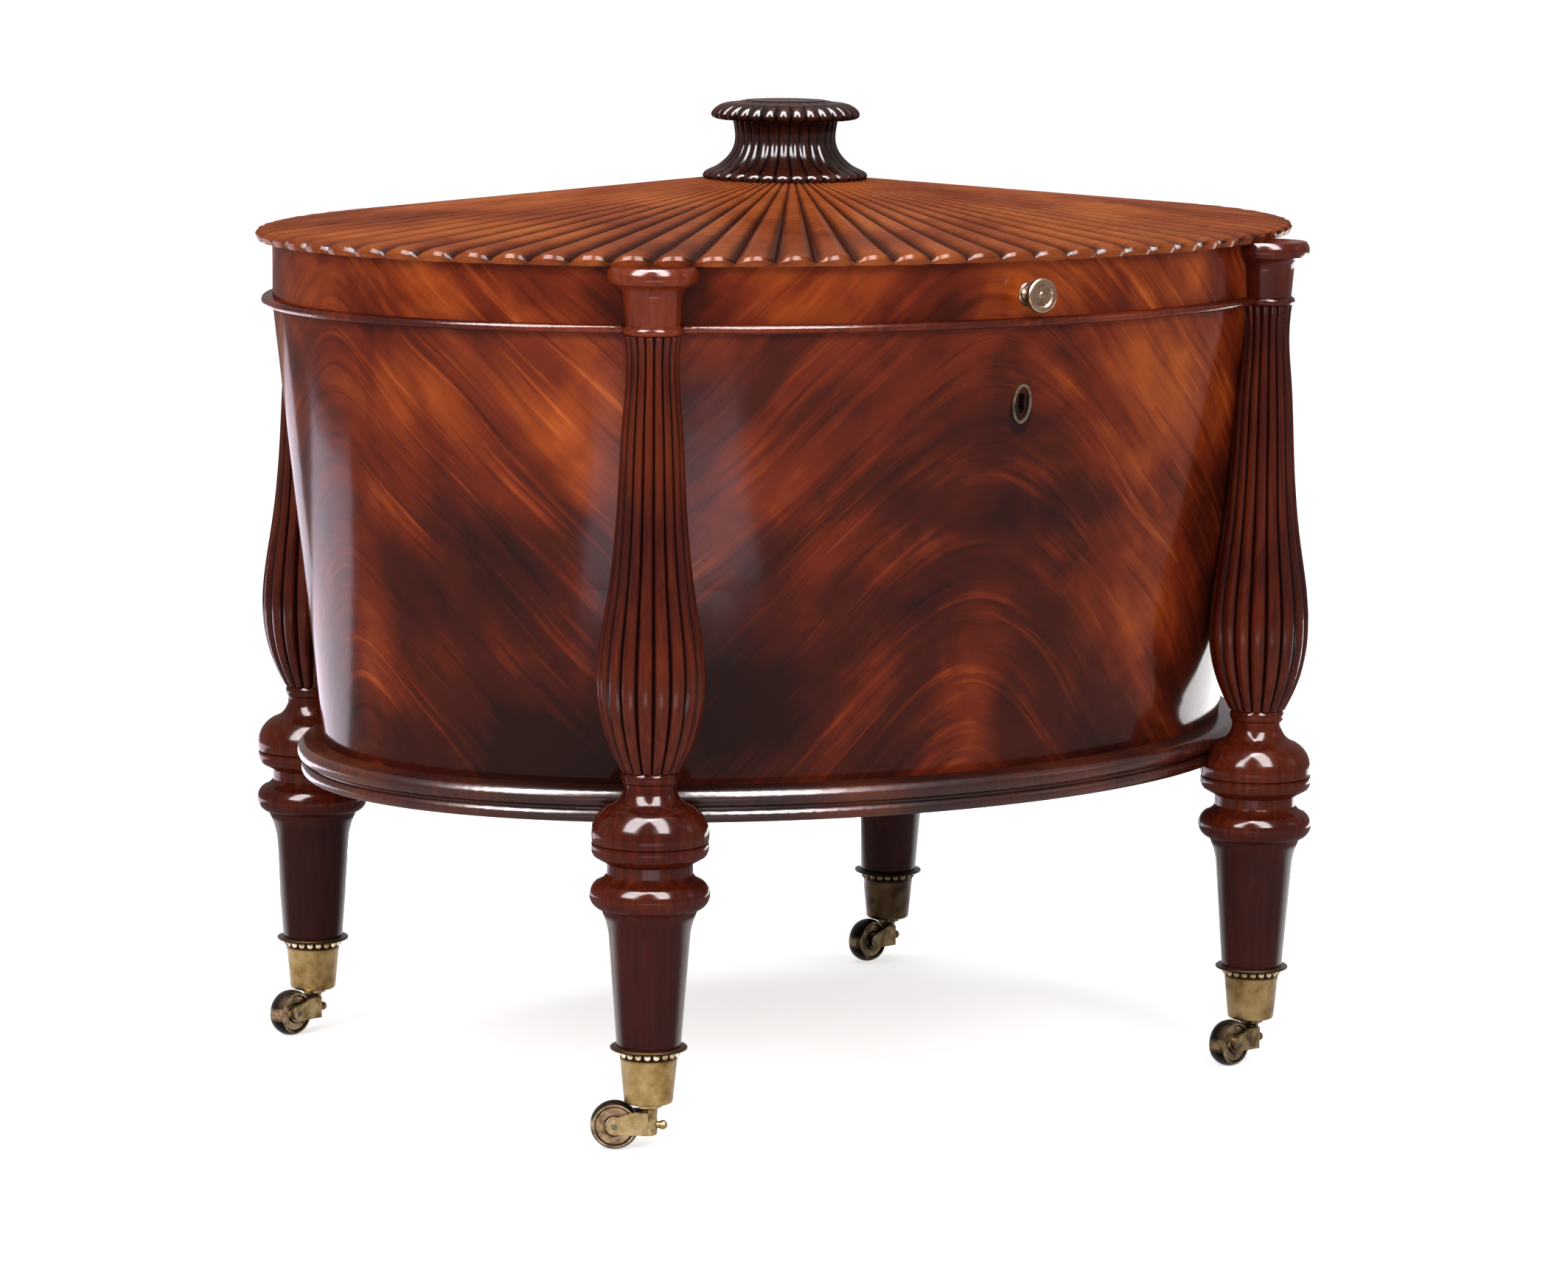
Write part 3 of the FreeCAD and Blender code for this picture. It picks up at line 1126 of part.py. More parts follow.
def make_escutcheon():
    """Thin oval ring round the keyhole on the sloping front."""
    slope = "tub_draw / (tub_top_height - tub_foot_height)"
    plate = oval_board("escutcheon_plate", "escutcheon_half_height", "escutcheon_half_width",
                       "escutcheon_thickness", "0")
    opening = oval_board("escutcheon_opening", "escutcheon_half_height - escutcheon_rim",
                         "escutcheon_half_width - escutcheon_rim", "3 * escutcheon_thickness",
                         "-escutcheon_thickness")
    ring = cut("escutcheon_ring", plate, [opening])
    place(ring, axis=Z_AXIS, angle="90")
    seated = doc.addObject("Part::Compound", "escutcheon")
    seated.Links = [ring]
    place(seated, "0", f"(keyhole_drop - escutcheon_lift) * {slope} - tub_top_half_depth - escutcheon_gap",
          "tub_top_height - keyhole_drop + escutcheon_lift", X_AXIS, f"90 deg + atan({slope})")
    keep(seated, "escutcheon")


def make_lock():
    """Box lock in the front of the tub, its bolt, and the link plate under the lid."""
    front = "lock_setback - tub_top_half_depth"
    middle = f"{front} + lock_thickness / 2"
    top = "tub_top_height - face_thickness"
    foot = "tub_top_height - lock_height"
    case = block("lock_block", "2 * lock_half_width", "lock_thickness", "lock_height - face_thickness",
                 "-lock_half_width", front, foot)
    bolt_room = block("bolt_room", "2 * bolt_half_width + bolt_travel + 2 * lock_gap",
                      "bolt_thickness + 2 * lock_gap", "bolt_foot - bolt_nose_top + 2 * lock_gap",
                      "-bolt_half_width - lock_gap - bolt_travel / 2",
                      f"{middle} - bolt_thickness / 2 - lock_gap", "tub_top_height - bolt_foot - lock_gap")
    staple_x = "bolt_half_width - bolt_travel / 2 + lock_gap + 0.5"
    slot = block("staple_slot", "staple_thickness + 2 * staple_gap", "staple_width + 2 * staple_gap",
                 "staple_depth + staple_gap", f"{staple_x} - staple_gap",
                 f"{middle} - staple_width / 2 - staple_gap", "tub_top_height - staple_depth - staple_gap")
    nose_room = block("nose_room", "bolt_travel + staple_thickness + 2", "bolt_thickness + 2 * lock_gap",
                      "bolt_nose_height + 2 * lock_gap", staple_x,
                      f"{middle} - bolt_thickness / 2 - lock_gap",
                      "tub_top_height - bolt_nose_top - bolt_nose_height - lock_gap")
    chamber = rod("key_chamber", "key_chamber_radius", "bolt_thickness + 2 * lock_gap", "0",
                  f"{middle} + bolt_thickness / 2 + lock_gap", "tub_top_height - keyhole_drop", X_AXIS, "90")
    key = keyhole_cutter("lock_keyhole", "lock_thickness / 2", front)
    hollow = cut("lock_hollow", case, [bolt_room, slot, nose_room, chamber, key])
    post = rod("key_post", "key_post_radius", "lock_thickness - 1", "0", f"{front} + lock_thickness",
               "tub_top_height - keyhole_drop", X_AXIS, "90")
    keep(joined("lock_case", [hollow, post]), "lock_case")

    face = block("face_blank", "2 * face_half_width", "lock_thickness", "face_thickness",
                 "-face_half_width", front, top)
    face_holes = shaped("face_holes", small_screws(face_seats(), size("dowel_gap")))
    keep(cut("lock_face", face, [slot, face_holes]), "lock_face")

    plate = block("bolt_plate", "2 * bolt_half_width", "bolt_thickness", "bolt_foot - bolt_nose_top",
                  "-bolt_half_width - bolt_travel / 2", f"{middle} - bolt_thickness / 2",
                  "tub_top_height - bolt_foot")
    shoulder = block("bolt_shoulder", "bolt_travel", "2 * bolt_thickness", "bolt_foot",
                     "bolt_half_width - bolt_travel * 1.5", f"{middle} - bolt_thickness",
                     "tub_top_height - bolt_nose_top - bolt_nose_height - bolt_foot")
    talon = rod("bolt_talon", "key_chamber_radius * 0.6", "2 * bolt_thickness", "-bolt_travel / 2",
                f"{middle} + bolt_thickness", "tub_top_height - bolt_foot", X_AXIS, "90")
    keep(cut("lock_bolt", plate, [shoulder, talon]), "lock_bolt")

    link = block("link_plate", "2 * link_half_width", "lock_thickness", "link_thickness",
                 "-link_half_width", front, LID_FOOT)
    staple = block("staple_block", "staple_thickness", "staple_width", "staple_depth + link_thickness / 2",
                   staple_x, f"{middle} - staple_width / 2", f"{LID_FOOT} - staple_depth")
    window_top = "tub_top_height - bolt_nose_top + 3 * lock_gap"
    window = block("staple_window", "3 * staple_thickness", "staple_width - 2 * staple_web",
                   "bolt_nose_height + 6 * lock_gap", f"{staple_x} - staple_thickness",
                   f"{middle} - staple_width / 2 + staple_web",
                   f"{window_top} - bolt_nose_height - 6 * lock_gap")
    link_holes = shaped("link_holes", small_screws(link_seats(), size("dowel_gap")))
    keep(cut("lock_link", joined("link_blank", [link, staple]), [window, link_holes]), "lock_link")


def make_hinges():
    """Two butt hinges: the lower leaf holds the middle knuckle, the upper leaf the outer two."""
    pin_y = "tub_top_half_depth + hinge_setback"
    pin_z = "tub_top_height + lid_gap / 2"
    for side, sign in (("l", -1), ("r", 1)):
        middle = f"{sign} * hinge_x"
        left = f"{middle} - hinge_half_length"
        inner = "hinge_middle"
        outer_length = "hinge_half_length - hinge_middle - swivel_gap"
        leaf_depth = "hinge_leaf_reach - hinge_knuckle_radius - hinge_clear"
        bore = rod(f"pin_bore_{side}", "hinge_pin_radius + running_gap", "4 * hinge_half_length",
                   f"{middle} - 2 * hinge_half_length", pin_y, pin_z, FreeCAD.Vector(0, 1, 0), "90")
        parts = {"lower": [], "upper": []}
        for leaf, z, seats in (("lower", "tub_top_height - hinge_leaf_thickness", hinge_seats(-1)),
                               ("upper", LID_FOOT, hinge_seats(1))):
            parts[leaf].append(block(f"leaf_{leaf}_{side}", "2 * hinge_half_length", leaf_depth,
                                     "hinge_leaf_thickness", left, f"{pin_y} - hinge_leaf_reach", z))
            spans = [(f"{middle} - {inner}", f"2 * {inner}")] if leaf == "lower" else [
                (left, outer_length), (f"{middle} + {inner} + swivel_gap", outer_length)]
            for index, (start, length) in enumerate(spans):
                parts[leaf].append(rod(f"knuckle_{leaf}_{side}_{index}", "hinge_knuckle_radius", length,
                                       start, pin_y, pin_z, FreeCAD.Vector(0, 1, 0), "90"))
                parts[leaf].append(block(f"tab_{leaf}_{side}_{index}", length, "hinge_leaf_reach",
                                         "hinge_leaf_thickness", start, f"{pin_y} - hinge_leaf_reach", z))
            holes = shaped(f"leaf_holes_{leaf}_{side}", small_screws(seats, size("dowel_gap")))
            blank = joined(f"hinge_{leaf}_{side}_blank", parts[leaf])
            keep(cut(f"hinge_leaf_{leaf}_{side}", blank, [bore, holes]), f"hinge_leaf_{leaf}_{side}")
        pin = rod(f"pin_{side}", "hinge_pin_radius", "2 * hinge_half_length", left, pin_y, pin_z,
                  FreeCAD.Vector(0, 1, 0), "90")
        keep(pin, f"hinge_pin_{side}")


def make_fasteners():
    """Screws and dowels, grouped where they are alike."""
    keep(shaped("tub_screw_group", small_screws(hinge_seats(-1) + face_seats())), "tub_screws")
    keep(shaped("lid_screw_group", small_screws(hinge_seats(1) + link_seats())), "lid_screws")
    keep(shaped("leg_screw_group", leg_screws()), "leg_screws")
    keep(shaped("leg_dowel_group", leg_dowels()), "leg_dowels")


# ---------------------------------------------------------------- whole


def build():
    """Make every piece in order."""
    fill_sheet()
    make_tub()
    make_liner()
    make_dividers()
    make_legs()
    for name, (side_x, side_y, trail) in CORNERS.items():
        make_caster(name, side_x, side_y, trail)
    make_lid()
    make_capitals()
    make_finial()
    make_knob()
    make_escutcheon()
    make_lock()
    make_hinges()
    make_fasteners()
    doc.recompute()


def check():
    """Stop at the first object that failed."""
    for thing in doc.Objects:
        if "Invalid" in thing.State or "Error" in thing.State:
            raise RuntimeError(f"{thing.Name} failed: {thing.State}")
    for piece in kept:
        if piece.Shape.isNull() or not piece.Shape.isValid() or not piece.Shape.Solids:
            raise RuntimeError(f"{piece.Label} has no sound shape")


def export():
    """Write one STEP file per piece."""
    os.makedirs("parts", exist_ok=True)
    for piece in kept:
        piece.Shape.exportStep(f"parts/{piece.Label}.step")
        print(f"{piece.Label}: {len(piece.Shape.Solids)} solid(s), {piece.Shape.Volume / 1000:.1f} cm3")


build()
check()
export()
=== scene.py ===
import logging
import math
from collections.abc import Sequence
from dataclasses import dataclass
from enum import Enum
from functools import cached_property

import bpy
from mathutils import Matrix, Quaternion, Vector

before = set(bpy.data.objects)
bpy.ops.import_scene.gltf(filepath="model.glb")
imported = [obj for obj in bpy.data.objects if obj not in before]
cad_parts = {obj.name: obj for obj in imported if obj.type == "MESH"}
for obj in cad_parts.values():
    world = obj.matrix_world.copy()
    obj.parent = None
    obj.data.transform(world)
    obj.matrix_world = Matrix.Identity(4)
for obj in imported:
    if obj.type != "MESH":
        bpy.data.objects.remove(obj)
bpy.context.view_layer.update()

# Oval cellarette in metres: a veneered tub on four reeded legs with brass casters, closed by a
# hinged lid with a radially reeded top and a gadrooned finial.  The front faces -Y, Z is up.

LOG = logging.getLogger("cellarette")
MM = 0.001
LEG_X = 242 * MM  # middle of a leg, from the middle of the oval
LEG_Y = 210 * MM
WHITE = (1.0, 1.0, 1.0)

# The sRGB curve: a straight toe, then a power.
TOE_END = 0.04045
TOE_SLOPE = 12.92
CURVE_LIFT = 0.055
CURVE_POWER = 2.4

# Sockets of a colour Mix node, whose names repeat, so they are picked by number.
MIX_SHARE, MIX_FROM, MIX_TO = 0, 6, 7
MIX_COLOUR = 2

Pair = tuple[float, float]
Triple = tuple[float, float, float]
Node = bpy.types.Node
Value = Node | bpy.types.NodeSocket | float  # what feeds an input of a node


class Corner(Enum):
    """Corners of the cellarette, each with the ending of its nodes' names."""

    FRONT_LEFT = "fl"
    FRONT_RIGHT = "fr"
    BACK_LEFT = "bl"
    BACK_RIGHT = "br"


class Hollows(Enum):
    """Where a carved piece has its hollows, which are painted dark: old polish and painted shade."""

    NONE = "none"
    COLUMN = "column"
    FINIAL = "finial"
    LID = "lid"


def linear(code: str) -> tuple[float, float, float, float]:
    """Turn an sRGB hex colour into linear light.

    Args:
        code: Colour such as "#6E2D1C".

    Returns:
        Red, green, blue and alpha in linear light.
    """
    parts = [int(code[i:i + 2], 16) / 255 for i in (1, 3, 5)]
    red, green, blue = (
        part / TOE_SLOPE if part <= TOE_END else ((part + CURVE_LIFT) / (1 + CURVE_LIFT)) ** CURVE_POWER
        for part in parts)
    return red, green, blue, 1.0


class Graph:
    """Nodes of one material, or of the world.

    Attributes:
        owner: The material or the world.
        tree: Its node tree.
    """

    def __init__(self, owner: bpy.types.Material | bpy.types.World) -> None:
        """Empty the node tree of a material or of the world.

        Args:
            owner: The material or the world.
        """
        owner.use_nodes = True
        self.owner = owner
        self.tree = owner.node_tree
        self.tree.nodes.clear()

    @cached_property
    def place(self) -> bpy.types.bpy_prop_collection:
        """Texture coordinates by kind, such as Object and Normal."""
        return self.add("ShaderNodeTexCoord").outputs

    @cached_property
    def axes(self) -> bpy.types.bpy_prop_collection:
        """Object coordinates by axis: X, Y and Z."""
        return self.add("ShaderNodeSeparateXYZ", {0: self.place["Object"]}).outputs

    def add(self, kind: str, inputs: dict[str | int, object] | None = None, **settings: object) -> Node:
        """Add a node with its settings, values and links.

        Args:
            kind: Blender's name for the kind of node.
            inputs: Value, node or socket for each input, by name or index.
            **settings: Attributes of the node itself.

        Returns:
            The new node.
        """
        node = self.tree.nodes.new(kind)
        for name, value in settings.items():
            setattr(node, name, value)
        for key, value in (inputs or {}).items():
            if isinstance(value, Node):
                self.tree.links.new(value.outputs[0], node.inputs[key])
            elif isinstance(value, bpy.types.NodeSocket):
                self.tree.links.new(value, node.inputs[key])
            else:
                node.inputs[key].default_value = value
        return node

    def calc(self, operation: str, *values: Value) -> Node:
        """Calculate with numbers, nodes or sockets.

        Args:
            operation: Blender's name for the operation.
            *values: What it calculates with.

        Returns:
            The node that does so.
        """
        return self.add("ShaderNodeMath", dict(enumerate(values)), operation=operation)

    def remap(self, value: Value, start: Pair, end: Pair = (0.0, 1.0), smooth: bool = False) -> Node:
        """Carry a value from one range into another, and stop at its ends.

        Args:
            value: Node or socket of the value.
            start: The range that it comes from.
            end: The range that it goes to.
            smooth: Whether it eases in and out at the ends.

        Returns:
            The node that does so.
        """
        kind = "SMOOTHSTEP" if smooth else "LINEAR"
        return self.add("ShaderNodeMapRange", {
            "Value": value, "From Min": start[0], "From Max": start[1], "To Min": end[0], "To Max": end[1]},
            interpolation_type=kind)

    def noise(self, vector: Value, scale: float, detail: float, roughness: float = 0.5,
              twist: float = 0.0) -> Node:
        """Draw soft noise that lies about 0.5.

        Args:
            vector: Node or socket of the place.
            scale: Waves for each unit of the place.
            detail: Octaves.
            roughness: Strength of the finer octaves.
            twist: Distortion.

        Returns:
            The noise node.
        """
        return self.add("ShaderNodeTexNoise", {
            "Vector": vector, "Scale": scale, "Detail": detail, "Roughness": roughness, "Distortion": twist})

    def colours(self, tone: Value, stops: Sequence[tuple[float, str]]) -> Node:
        """Turn a tone into a colour.

        Args:
            tone: Node or socket of the tone, from 0 to 1.
            stops: Places from 0 to 1 and their sRGB hex colours.

        Returns:
            The colour ramp's node.
        """
        ramp = self.add("ShaderNodeValToRGB", {"Fac": tone})
        elements = ramp.color_ramp.elements
        while len(elements) < len(stops):
            elements.new(0.5)  # its true place follows
        for element, (place, code) in zip(elements, stops):
            element.position = place
            element.color = linear(code)
        return ramp

    def show(self, shader: Node, kind: str = "Material") -> None:
        """Lead a shader to the output.

        Args:
            shader: The shader's node.
            kind: Material or World.
        """
        self.add(f"ShaderNodeOutput{kind}", {"Surface": shader})


# ---------------- woods


@dataclass(frozen=True)
class Shellac:
    """French polish on wood: a thin clear coat that mirrors the room in soft, faintly waving shapes.

    Attributes:
        mirror: Weight of the coat.
        roughness: Roughness of the coat.
        wave_size: Length of the waves in its surface, in metres.
        wave_strength: Strength of the waves, from 0 to 1.
        wave_depth: Height of the waves in metres.
        wave_detail: Octaves of the waves.
        wood_roughness: Roughness of the wood under it, in its darkest and in its palest grain.
    """

    mirror: float = 0.15
    roughness: float = 0.14
    wave_size: float = 16.667 * MM
    wave_strength: float = 0.06
    wave_depth: float = 1 * MM
    wave_detail: float = 2.0
    wood_roughness: Pair = (0.4, 0.6)

    def cover(self, graph: Graph, colour: Value, grain: Value, mirror: Value) -> None:
        """Shade a wood and its polish.

        Args:
            graph: Nodes of the material.
            colour: Colour of the wood.
            grain: Noise of the grain, from 0 to 1.
            mirror: Weight of the coat, or the node that gives it.
        """
        waves = graph.noise(graph.place["Object"], 1 / self.wave_size, self.wave_detail)
        bump = graph.add("ShaderNodeBump", {
            "Height": waves, "Strength": self.wave_strength, "Distance": self.wave_depth})
        pores = graph.remap(grain, (0.0, 1.0), self.wood_roughness)
        # The wood itself mirrors nothing: all that shines is the coat.
        shader = graph.add("ShaderNodeBsdfPrincipled", {
            "Base Color": colour, "Roughness": pores, "Normal": bump, "Specular IOR Level": 0.0,
            "Coat Weight": mirror, "Coat Roughness": self.roughness, "Coat Normal": bump})
        graph.show(shader)


@dataclass(frozen=True)
class Patch:
    """Soft oval patch of darker or brighter figure on one veneer panel.

    Attributes:
        panel: Number of the panel, as in Spot.
        run: Its middle, from the spine of the panel, in metres.
        height: Its middle, above the floor, in metres.
        half_run: Half its width in metres.
        half_height: Half its height in metres.
        strength: What it adds to the tone in its middle; below 0 it darkens.
    """

    panel: int
    run: float
    height: float
    half_run: float
    half_height: float
    strength: float


@dataclass(frozen=True)
class Layer:
    """One layer of the veneer's figure: noise drawn out along its strokes.

    Attributes:
        length: Length of a stroke in metres.
        width: Width of a stroke in metres.
        detail: Octaves of the noise.
        seed: Place in the noise that parts this layer from the others.
    """

    length: float
    width: float
    detail: float
    seed: float


@dataclass(frozen=True)
class Spot:
    """Nodes that say where a point of the wood lies in the veneer's figure.

    Attributes:
        run: Distance along the oval from the spine of its panel, in metres.
        panel: Number of its panel: 0 in front, -1 and 1 at the ends, 2 at the back.
        seat: Run, panel and height as one vector.
        level: Level of the figure, which is the same all along a stroke.
    """

    run: Node
    panel: Node
    seat: Node
    level: Node


@dataclass(frozen=True)
class CrotchVeneer:
    """Crotch mahogany veneer, sawn, laid in four panels round the oval and French polished.

    Each panel shows plumes that arch over a spine in its middle and fall away on both sides.
    The eye sees plum-dark wood with orange feather strokes under a glassy skin of shellac.
    """

    name: str
    stops: tuple[tuple[float, str], ...] = (
        (0.0, "#220C08"), (0.28, "#40140B"), (0.5, "#65230F"), (0.7, "#8A3B17"), (0.87, "#AC5421"),
        (1.0, "#C46C2E"))
    patches: tuple[Patch, ...] = ()
    shellac: Shellac = Shellac(0.12, 0.12, 71.4 * MM, 0.05, 4 * MM)

    # The oval, and the panels that meet behind the legs.
    half_width: float = 359 * MM
    half_depth: float = 270 * MM
    mean_radius: float = 320 * MM
    leg_turn: float = 0.714  # radians from the middle of the front to a front leg
    panel_apart: float = 7.0  # far enough in the noise for each panel to have a figure of its own
    patch_apart: float = 10.0  # keeps a patch on its panel

    # The arches of the figure.
    spine: float = 20 * MM  # how far a panel's spine stands off its middle
    spine_round: float = 34 * MM
    fall: float = 0.95  # drop for each metre away from the spine
    wander: float = 26 * MM  # how far a stroke strays up or down
    wander_size: float = 200 * MM
    wander_detail: float = 1.0

    # The layers, and the noise at which a stroke starts and is full.
    clouds: Layer = Layer(170 * MM, 75 * MM, 3.0, 0.0)
    feathers: Layer = Layer(80 * MM, 6.5 * MM, 3.0, 3.7)
    feather_limits: Pair = (0.5, 0.72)
    groups: Layer = Layer(110 * MM, 50 * MM, 1.0, 11.9)  # the feathers show in groups
    group_limits: Pair = (0.4, 0.6)
    veins: Layer = Layer(80 * MM, 6.5 * MM, 2.0, 8.3)
    vein_limits: Pair = (0.52, 0.74)
    fibres: Layer = Layer(26 * MM, 1.8 * MM, 2.0, 5.1)  # real ones are finer; drawn so that they show
    noise_roughness: float = 0.55
    stroke_twist: float = 0.15
    mottle_size: float = 60 * MM  # blotches that lie across the strokes
    mottle_detail: float = 3.0
    mottle_twist: float = 0.5

    # The tone, from 0 dark to 1 bright, and what each layer adds to it.
    base: float = 0.37
    cloud_gain: float = 1.0
    mottle_gain: float = 0.6
    feather_gain: float = 0.2
    vein_gain: float = -0.12
    fibre_gain: float = 0.12
    shade_low: float = 200 * MM  # the wood grows paler from this height
    shade_high: float = 560 * MM  # to this one
    shade_gain: float = 0.12

    def build(self) -> bpy.types.Material:
        """Return the material."""
        graph = Graph(bpy.data.materials.new(self.name))
        spot = self.find_spot(graph)
        cloud = self.draw(graph, spot, self.clouds)
        fibre = self.draw(graph, spot, self.fibres)
        mottle = graph.noise(
            spot.seat, 1 / self.mottle_size, self.mottle_detail, self.noise_roughness, self.mottle_twist)
        bright = self.draw_strokes(graph, spot, self.feathers, self.feather_limits)
        group = self.draw_strokes(graph, spot, self.groups, self.group_limits)
        feather = graph.calc("MULTIPLY", bright, group)
        vein = self.draw_strokes(graph, spot, self.veins, self.vein_limits)

        # Noise lies about 0.5, so half of what it adds comes off first.
        start = self.base - (self.cloud_gain + self.mottle_gain + self.fibre_gain) / 2
        tone = graph.remap(graph.axes["Z"], (self.shade_low, self.shade_high),
                           (start - self.shade_gain, start + self.shade_gain))
        for value, gain in ((cloud, self.cloud_gain), (mottle, self.mottle_gain),
                            (feather, self.feather_gain), (vein, self.vein_gain), (fibre, self.fibre_gain)):
            tone = graph.calc("MULTIPLY_ADD", value, gain, tone)
        for patch in self.patches:
            tone = self.add_patch(graph, spot, tone, patch)
        self.shellac.cover(graph, graph.colours(tone, self.stops), fibre, self.shellac.mirror)
        return graph.owner

    def find_spot(self, graph: Graph) -> Spot:
        """Find where a point lies in the figure.

        Args:
            graph: Nodes of the material.

        Returns:
            The nodes that say so.
        """
        run, panel = self.find_run_and_panel(graph)
        seat = graph.add("ShaderNodeCombineXYZ", {0: run, 1: panel, 2: graph.axes["Z"]})
        return Spot(run, panel, seat, self.find_level(graph, seat, run))

    def find_run_and_panel(self, graph: Graph) -> tuple[Node, Node]:
        """Find the way along the oval from the spine of a panel.

        Args:
            graph: Nodes of the material.

        Returns:
            Nodes for the run and the panel of a Spot.
        """
        across = graph.calc("DIVIDE", graph.axes["X"], self.half_width)
        along = graph.calc("DIVIDE", graph.axes["Y"], -self.half_depth)
        turn = graph.calc("ARCTAN2", across, along)
        side = graph.calc("SIGN", turn)
        away = graph.calc("ABSOLUTE", turn)
        past_front = graph.calc("GREATER_THAN", away, self.leg_turn)
        past_end = graph.calc("GREATER_THAN", away, math.pi - self.leg_turn)
        panels = graph.calc("ADD", past_front, past_end)
        signed = graph.calc("MULTIPLY", panels, side)
        local = graph.calc("MULTIPLY_ADD", signed, -math.pi / 2, turn)
        half_turns = graph.calc("MULTIPLY", signed, math.pi)
        swing = graph.calc("COSINE", half_turns)
        offset = graph.calc("MULTIPLY", swing, self.spine)
        run = graph.calc("MULTIPLY_ADD", local, self.mean_radius, offset)
        # At the back the number is 2 on one side and -2 on the other: this makes both 2.
        joined = graph.calc("MULTIPLY_ADD", side, -2.0, 2.0)
        panel = graph.calc("MULTIPLY_ADD", past_end, joined, signed)
        return run, panel

    def find_level(self, graph: Graph, seat: Node, run: Node) -> Node:
        """Bend the levels of the figure into arches over the spine.

        Args:
            graph: Nodes of the material.
            seat: Seat of a Spot.
            run: Run of a Spot.

        Returns:
            Node for the level of a Spot.
        """
        waver = graph.noise(seat, 1 / self.wander_size, self.wander_detail)
        drift = graph.calc("MULTIPLY_ADD", waver, 2 * self.wander, -self.wander)
        square = graph.calc("MULTIPLY_ADD", run, run, self.spine_round ** 2)
        reach = graph.calc("SQRT", square)
        arch = graph.calc("MULTIPLY_ADD", reach, self.fall, graph.axes["Z"])
        return graph.calc("ADD", arch, drift)

    def draw(self, graph: Graph, spot: Spot, layer: Layer) -> Node:
        """Draw one layer of the figure along the arches.

        Args:
            graph: Nodes of the material.
            spot: Where a point lies.
            layer: Size and seed of the layer.

        Returns:
            The noise node.
        """
        rise = graph.calc("MULTIPLY", spot.level, 1 / layer.width)
        walk = graph.calc("MULTIPLY", spot.run, 1 / layer.length)
        part = graph.calc("MULTIPLY_ADD", spot.panel, self.panel_apart, layer.seed)
        point = graph.add("ShaderNodeCombineXYZ", {0: walk, 1: part, 2: rise})
        return graph.noise(point, 1.0, layer.detail, self.noise_roughness, self.stroke_twist)

    def draw_strokes(self, graph: Graph, spot: Spot, layer: Layer, limits: Pair) -> Node:
        """Draw one layer and keep only the strokes that stand out of it.

        Args:
            graph: Nodes of the material.
            spot: Where a point lies.
            layer: Size and seed of the layer.
            limits: Noise at which a stroke starts, and at which it is full.

        Returns:
            Node that is 1 on a stroke and 0 beside it.
        """
        return graph.remap(self.draw(graph, spot, layer), limits, smooth=True)

    def add_patch(self, graph: Graph, spot: Spot, tone: Node, patch: Patch) -> Node:
        """Add one patch to the tone.

        Args:
            graph: Nodes of the material.
            spot: Where a point lies.
            tone: Tone so far.
            patch: Place, size and strength of the patch.

        Returns:
            Node for the tone with the patch.
        """
        rim, heart = 1.0, 0.1  # the patch fades in from its rim and is full in its heart
        scale = (1 / patch.half_run, self.patch_apart, 1 / patch.half_height)
        middle = (patch.run, patch.panel, patch.height)
        point = graph.add("ShaderNodeMapping", {
            "Vector": spot.seat, "Scale": scale, "Location": tuple(-m * s for m, s in zip(middle, scale))})
        far = graph.add("ShaderNodeVectorMath", {0: point}, operation="LENGTH")
        near = graph.remap(far.outputs["Value"], (rim, heart), smooth=True)
        return graph.calc("MULTIPLY_ADD", near, patch.strength, tone)


